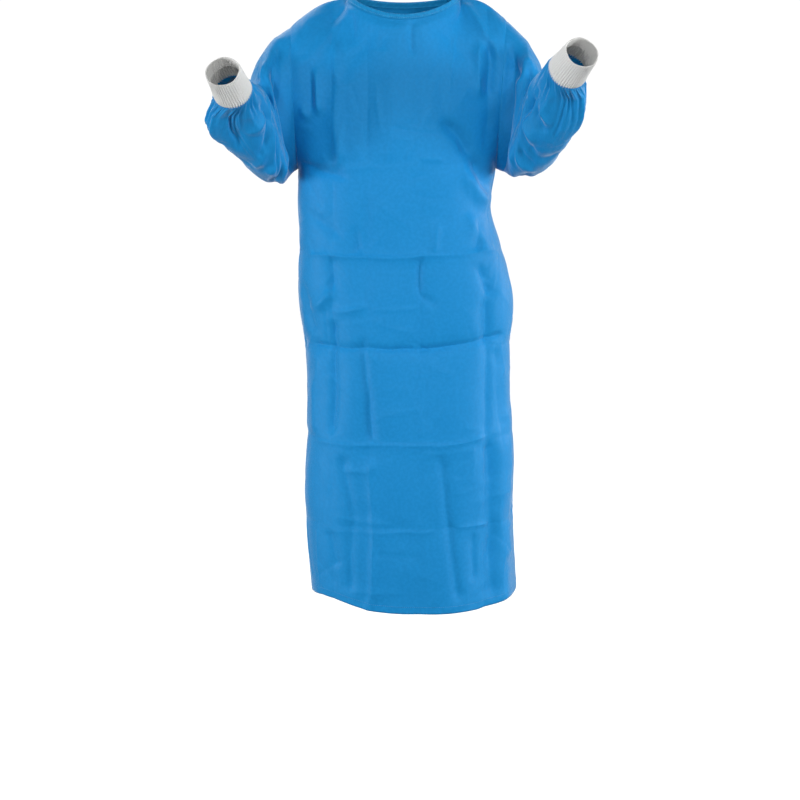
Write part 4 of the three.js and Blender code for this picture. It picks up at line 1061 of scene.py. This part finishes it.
def turn_at(x, z):
    """The turn round the body at which its form has this x, at height z."""
    left, right = ring_column(z, "left"), ring_column(z, "right")
    share = np.clip(2 * (x - left) / (right - left) - 1, -0.99, 0.99)
    return np.arccos(-signed_power(share, 1 / SECTION_SQUARE)) / np.pi


def on_back(half, turns, heights, lift):
    """Places on a back half's own cloth at turns round the body and heights, lifted off it."""
    sheet = back_cloths[half]
    columns = np.interp(turns, sheet["turns"], np.arange(len(sheet["turns"])))
    low = np.clip(np.floor(columns).astype(int), 0, len(sheet["turns"]) - 2)
    places = []
    for i, s, z, raised in zip(low, columns - low, heights, lift):
        found = []
        for column in (i, i + 1):
            tall = sheet["cloth"][:, column, 2]
            row = int(np.clip(np.searchsorted(tall, z) - 1, 0, len(tall) - 2))
            t = float(np.clip((z - tall[row]) / (tall[row + 1] - tall[row]), 0, 1))
            pair = [(sheet[k][row, column], sheet[k][row + 1, column]) for k in ("cloth", "normals")]
            found.append([mix(a, b, t) for a, b in pair])
        point, normal = mix(found[0][0], found[1][0], s), mix(found[0][1], found[1][1], s)
        places.append(point + unit(normal) * raised)
    return np.array(places)


def folded_strip(name, lines, flip):
    """A flat folded strip from rows of points along it, closed round with soft edges."""
    lines = np.array(lines)
    half_wall = cloth_normals(lines) * TIE_WALL * 0.5 * (-1 if flip else 1)
    edge_a = lines[0] + (lines[0] - lines[1]) * TIE_EDGE
    edge_b = lines[-1] + (lines[-1] - lines[-2]) * TIE_EDGE
    face, under = lines + half_wall, lines - half_wall
    ring = np.concatenate([face, edge_b[None], under[::-1], edge_a[None], face[:1]])
    return cloth_mesh(name, ring, tie_cloth, flip=flip)


knot_at = np.array([(a + b) / 2 * PER_METRE for a, b in zip(*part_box("tie_knot"))])
for name, node, hand in (("tie_strip_left", "tie_left", -1), ("tie_strip_right", "tie_right", 1)):
    end_turn = float(turn_at(knot_at[0] + hand * (KNOT_WIDE - 1.5), np.array(TIE_Z)))
    along = np.linspace(0, 1, TIE_STEPS)
    turns = mix(TIE_STARTS[hand], end_turn, along)
    under_lap = (turns < RIGHT_HALF_STARTS) & (hand < 0)
    climb = np.where(under_lap, 2 * LAP_PART * ease((turns - 0.29) / 0.1), 0)
    near_knot = (KNOT_SEAT - TIE_SEAT) * ease((along - 0.82) / 0.18)
    wide = mix(TIE_WIDE, KNOT_HIGH * 0.9, ease((along - 0.7) / 0.3))
    lines = []
    for line in np.linspace(-0.5, 0.5, TIE_LINES):
        pleat = 0.9 * math.cos(line * 4 * math.pi) * ease((along - 0.6) / 0.4)
        ripple = 0.5 * soft_noise(along * 190, along * 0 + line * 14, 17, 211 + hand)
        lift = TIE_SEAT + near_knot + pleat + np.maximum(ripple, -0.2) + climb
        heights = TIE_Z + line * wide + 1.2 * np.sin(along * 5)
        on_left, on_right = on_back(-1, turns, heights, lift), on_back(1, turns, heights, lift)
        lines.append(np.where(under_lap[:, None], on_left, on_right))
    piece = folded_strip(name, lines, flip=hand > 0)
    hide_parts(node)
    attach(piece, "root")

theta = np.linspace(0, 2 * np.pi, KNOT_GRID["round"], endpoint=False)[None, :]
phi = np.linspace(0.02, np.pi - 0.02, KNOT_GRID["down"])[:, None]
ball = np.stack([np.sin(phi) * np.cos(theta), np.sin(phi) * np.sin(theta), np.cos(phi) + theta * 0], -1)
slope = ball[..., 0] * 0.9 + ball[..., 2] * 0.45
strap = np.exp(-((slope / 0.34) ** 4))
groove = bell(np.abs(slope) - 0.42, 0.09)
pleats = 0.045 * np.sin(15 * ball[..., 2] + 5 * ball[..., 0]) * (1 - strap)
pleats = pleats + 0.035 * np.sin(20 * slope) * strap
size = (0.86 + 0.13 * strap - 0.15 * groove + pleats) * (1 + 0.05 * np.sin(3 * theta + 1))
knot_points = knot_at + ball * size[..., None] * np.array([KNOT_WIDE, KNOT_DEEP * 1.05, KNOT_HIGH])
knot = cloth_mesh("tie_knot_folds", knot_points[::-1], tie_cloth, closed=True)
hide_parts("tie_knot")
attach(knot, "root")

for name, node, hand in (("tie_tail_left", "tail_left", -1), ("tie_tail_right", "tail_right", 1)):
    fall = np.linspace(0, 1, TAIL_STEPS)
    z = TIE_Z - KNOT_HIGH - 0.1 - fall * TAIL_LONG + 3.5 * (1 - ease(fall * 6))
    wide = mix(TAIL_TOP_WIDE, TIE_WIDE, ease(fall * 3))
    swing = 3.2 * np.sin(fall * 4.2 + hand) * fall
    off_knot = mix(KNOT_SEAT - 1.5, TIE_SEAT + 1.2, ease(fall * 4)) + 0.8
    lines = []
    for line in np.linspace(-0.5, 0.5, TIE_LINES):
        x = knot_at[0] + hand * (0.3 + wide / 2 + 22 * fall) + line * wide + swing * 0.4
        fold = 1.0 * math.cos(line * 4 * math.pi) * (1 - ease(fall * 2.4))
        fold = fold + 0.7 * soft_noise(fall * 150, fall * 0 + line * 20, 22, 221 + hand)
        lines.append(on_back(1, turn_at(x, z), z, np.maximum(off_knot + fold, TIE_SEAT)))
    piece = folded_strip(name, lines, flip=True)
    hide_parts(node)
    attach(piece, "root")

# Neck tab: a white brushed strip of hook-and-loop tape sewn on the outer back half, which
# presses the two back halves together at the neck.
TAB_FROM = 0.37
TAB_TO = 0.49
TAB_DROP = 8
TAB_HIGH = 24
TAB_LONG = 97
TAB_THICK = 0.6 + TIE_WALL
TAB_EDGE = {"high": 0.55, "wide": 0.8}
TAB_SEAM = {"high": 0.35, "in": 2.6, "wide": 0.7}
TAB_COLUMNS = 60
TAB_ROWS = 20
TAB_STITCHES_IN = 2
ARMHOLE_HIGH = 330
TAPE_DARK = (0.60, 0.64, 0.68, 1)
TAPE_LIGHT = (0.82, 0.84, 0.85, 1)
tab_loop, tree, shader = new_material("tab_loop")
brushed = {"Vector": place_on_cloth(tree), "Scale": 1100}
nap = new_node(tree, "ShaderNodeTexVoronoi", brushed, voronoi_dimensions="2D").outputs["Distance"]
connect(tree, shader, {
    "Base Color": two_tones(tree, nap, TAPE_DARK, TAPE_LIGHT),
    "Roughness": shape_value(tree, nap, 0.1, 0.6, 0.8, 0.97),
    "Sheen Weight": 0.4,
    "Specular IOR Level": 0.2,
    "Normal": bump(tree, Height=nap, Distance=0.0004),
})
tab_turns = np.linspace(TAB_FROM, TAB_TO, TAB_COLUMNS)[None, :]
tab_rises = (1 - (TAB_DROP + np.linspace(1, 0, TAB_ROWS) * TAB_HIGH) / ARMHOLE_HIGH)[:, None]
tab_points = body_points(tab_turns, tab_rises, 1)
tab_normals = -cloth_normals(tab_points)


def from_ends(count, size):
    """Distance to the nearer end at each of the places over a size."""
    return np.minimum(np.linspace(0, 1, count), np.linspace(1, 0, count)) * size


from_border = np.minimum(from_ends(TAB_COLUMNS, TAB_LONG)[None, :], from_ends(TAB_ROWS, TAB_HIGH)[:, None])
rounded = TAB_EDGE["high"] * np.exp(-from_border / TAB_EDGE["wide"])
sewn = TAB_SEAM["high"] * bell(from_border - TAB_SEAM["in"], TAB_SEAM["wide"])
tab_seat = LAP_PART + SOLID_WALL / 2 + SOLID_GAP
tab_face = tab_points + tab_normals * (tab_seat + TAB_THICK - rounded - sewn)[..., None]
tab_back = tab_points + tab_normals * (tab_seat + REST_GAP)
tab_faces = np.concatenate([tab_back[:1], tab_face, tab_back[-1:]])
tab_rim = np.concatenate([tab_back[:1], tab_back, tab_back[-1:]])
tab_closed = np.concatenate([tab_rim[:, :1], tab_faces, tab_rim[:, -1:]], 1)
tab = cloth_mesh("neck_tab_tape", tab_closed, tab_loop, flip=True)
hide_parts("neck_tab")
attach(tab, "root")

# Sewing: lockstitches in blue thread along the hem, the binding, the lapped edges and the cuffs,
# and white ones round the tab. Each stitch is a short rounded length of thread.
THREAD_SIDES = 6
# Each ring of a stitch: its part of the thread's radius, and how high it stands.
STITCH_RINGS = ((0.35, -0.5), (0.9, 0.35), (1, 0.6), (0.9, 0.35), (0.35, -0.5))
STITCH_PROUD = 0.15
STITCH_FLAT = 1.15
THREAD_TWISTS = 900


def thread_material(name, dark, light):
    """Spun sewing thread with a slanting twist."""
    material, tree, shader = new_material(name)
    place = new_node(tree, "ShaderNodeTexCoord", {}).outputs["Object"]
    spun = {"Vector": place, "Scale": THREAD_TWISTS, "Distortion": 1.5}
    bands = {"wave_type": "BANDS", "bands_direction": "DIAGONAL"}
    twist = new_node(tree, "ShaderNodeTexWave", spun, **bands).outputs["Fac"]
    connect(tree, shader, {
        "Base Color": two_tones(tree, twist, dark, light),
        "Roughness": shape_value(tree, twist, 0, 1, 0.5, 0.7),
        "Sheen Weight": 0.15,
        "Normal": bump(tree, Height=twist, Distance=0.0001),
    })
    return material


thread_blue = thread_material("thread_blue", (0.02, 0.20, 0.46, 1), (0.06, 0.32, 0.62, 1))
thread_white = thread_material("thread_white", TAPE_DARK, (0.84, 0.85, 0.85, 1))


def stitch_row(path, normals, stitch, gap, thick):
    """Corners and faces of a row of stitches along a path on the cloth."""
    run = run_along(path)
    corners, faces = [], []
    for k in range(int(run[-1] // (stitch + gap))):
        at = k * (stitch + gap) + gap / 2 + np.linspace(0, 1, len(STITCH_RINGS)) * stitch
        line = np.stack([np.interp(at, run, path[:, i]) for i in range(3)], -1)
        out = unit(np.stack([np.interp(at, run, normals[:, i]) for i in range(3)], -1))
        side = np.cross(unit(line[-1] - line[0]), out)
        base = len(corners)
        for i, (radius, stand) in enumerate(STITCH_RINGS):
            for angle in np.arange(THREAD_SIDES) * 2 * math.pi / THREAD_SIDES:
                up = out[i] * (STITCH_PROUD + thick * (stand + radius * math.sin(angle)))
                across = side[i] * thick * radius * STITCH_FLAT * math.cos(angle)
                corners.append(line[i] + up + across)
        for ring in range(base, len(corners) - THREAD_SIDES, THREAD_SIDES):
            for spin in range(THREAD_SIDES):
                a, b = ring + spin, ring + (spin + 1) % THREAD_SIDES
                faces.append((a, b, b + THREAD_SIDES, a + THREAD_SIDES))
        faces.append(tuple(reversed(range(base, base + THREAD_SIDES))))
        faces.append(tuple(range(len(corners) - THREAD_SIDES, len(corners))))
    return corners, faces


def sew(name, rows, thread, stitch=3.0, gap=1.1, thick=0.3):
    """One piece of all the stitches along some rows."""
    corners, faces = [], []
    for path, normals in rows:
        more_corners, more_faces = stitch_row(path, normals, stitch, gap, thick)
        faces += [tuple(i + len(corners) for i in face) for face in more_faces]
        corners += more_corners
    mesh = bpy.data.meshes.new(name)
    mesh.from_pydata((np.array(corners) / PER_METRE).tolist(), [], faces)
    mesh.shade_smooth()
    mesh.materials.append(thread)
    piece = add_object(name, mesh)
    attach(piece, "root")
    return piece


HEM_STITCHES_UP = 4
under_half, outer_half = back_cloths[-1], back_cloths[1]
hem_rows = [(front_cloth[HEM_STITCHES_UP], front_normals[HEM_STITCHES_UP])]
for half in (under_half, outer_half):
    hem_rows.append((half["cloth"][HEM_STITCHES_UP], half["normals"][HEM_STITCHES_UP]))
sew("sewing_hem", hem_rows, thread_blue)
for name, half, column in (("sewing_lap", outer_half, 6), ("sewing_under_lap", under_half, -7)):
    edge = (slice(HEM_STITCHES_UP, -HEM_STITCHES_UP), column)
    sew(name, [(half["cloth"][edge], half["normals"][edge])], thread_blue)
binding_line = neck_path + neck_up * BINDING_STITCHES["up"] + neck_side * BINDING_STITCHES["out"]
sew("sewing_binding", [(binding_line, neck_side)], thread_blue)
cuff_seams = []
for hand in (-1, 1):
    for row in (-3, -6):
        cuff_seams.append([np.concatenate([sleeve_cloths[hand][k][row], sleeve_cloths[hand][k][row][:1]])
                           for k in ("cloth", "normals")])
sew("sewing_cuffs", cuff_seams, thread_blue, stitch=2.4, gap=0.9, thick=0.26)
low = TAB_STITCHES_IN
high_row = TAB_ROWS - 1 - TAB_STITCHES_IN
high_column = TAB_COLUMNS - 1 - TAB_STITCHES_IN
tab_line = []
for i0, j0, i1, j1 in (
    (low, low, high_row, low), (high_row, low, high_row, high_column),
    (high_row, high_column, low, high_column), (low, high_column, low, low),
):
    steps = max(abs(i1 - i0), abs(j1 - j0)) + 1
    rows, columns = (np.linspace(a, b, steps).round().astype(int) for a, b in ((i0, i1), (j0, j1)))
    tab_line.append((tab_face[rows, columns], tab_normals[rows, columns]))
sew("sewing_tab", tab_line, thread_white, stitch=2.2, gap=0.8, thick=0.24)

# Studio: a plain pale floor under the hanging gown, a white room round it, soft lights in front,
# at both sides and behind, and the camera at the photograph's angle.
FLOOR_SIDES = 96
FLOOR_RADIUS = 9
FLOOR_Z = -1.47
LIGHTS_AIM = (0, 0, -0.5)
floor_mesh = bpy.data.meshes.new("floor")
floor_turns = np.arange(FLOOR_SIDES) * 2 * math.pi / FLOOR_SIDES
floor_rim = [(FLOOR_RADIUS * math.cos(a), FLOOR_RADIUS * math.sin(a), FLOOR_Z) for a in floor_turns]
floor_mesh.from_pydata(floor_rim, [], [tuple(range(FLOOR_SIDES))])
floor = add_object("floor", floor_mesh)
floor_paint, tree, shader = new_material("floor_paint")
rays = new_node(tree, "ShaderNodeLightPath", {})
connect(tree, shader, {
    "Base Color": (0.30, 0.30, 0.30, 1),
    "Roughness": 0.9,
    "Specular IOR Level": 0.1,
    "Emission Color": (1, 1, 1, 1),
    "Emission Strength": math_value(tree, "MULTIPLY", rays.outputs["Is Camera Ray"], 0.95),
})
floor.data.materials.append(floor_paint)

studio = bpy.data.worlds.new("studio")
bpy.context.scene.world = studio
studio.use_nodes = True
tree = studio.node_tree
seen = tree.nodes["Background"]
connect(tree, seen, {"Color": (1, 1, 1, 1), "Strength": 1.05})
light = new_node(tree, "ShaderNodeBackground", {"Color": (0.95, 0.98, 1, 1), "Strength": 0.18})
rays = new_node(tree, "ShaderNodeLightPath", {})
either = {"Fac": rays.outputs["Is Camera Ray"], 1: light.outputs["Background"], 2: seen.outputs["Background"]}
choose = new_node(tree, "ShaderNodeMixShader", either)
connect(tree, tree.nodes["World Output"], {"Surface": choose.outputs["Shader"]})

# Each light: its name, its place and size in metres, and its power.
for name, at, size, power in (
    ("key_light", (1.2, -2.0, 2.4), 0.6, 29),
    ("front_right_light", (1.7, -3.4, 1.1), 0.5, 38),
    ("front_left_light", (-1.6, -3.5, 1.0), 0.5, 41),
    ("middle_light", (0.0, -3.9, 0.1), 0.7, 21),
    ("right_light", (3.0, -0.9, -0.6), 0.9, 58),
    ("left_light", (-3.0, -0.9, -0.8), 0.9, 57),
    ("back_light", (-1.5, 2.3, 2.2), 0.7, 58),
    ("back_side_light", (2.9, 1.5, 0.0), 0.8, 44),
):
    lamp = bpy.data.lights.new(name, "AREA")
    lamp.size = size
    lamp.energy = power
    holder = add_object(name, lamp)
    holder.location = at
    holder.rotation_euler = (Vector(LIGHTS_AIM) - Vector(at)).to_track_quat("-Z", "Y").to_euler()

camera_data = bpy.data.cameras.new("photo_camera")
camera_data.lens = 90
camera_data.sensor_width = 36
camera = add_object("photo_camera", camera_data)
camera.location = (-0.006, -4.0, -0.2)
camera.rotation_euler = (math.radians(90 - 8.613), 0, 0)
bpy.context.scene.camera = camera
bpy.context.scene.view_settings.view_transform = "Standard"
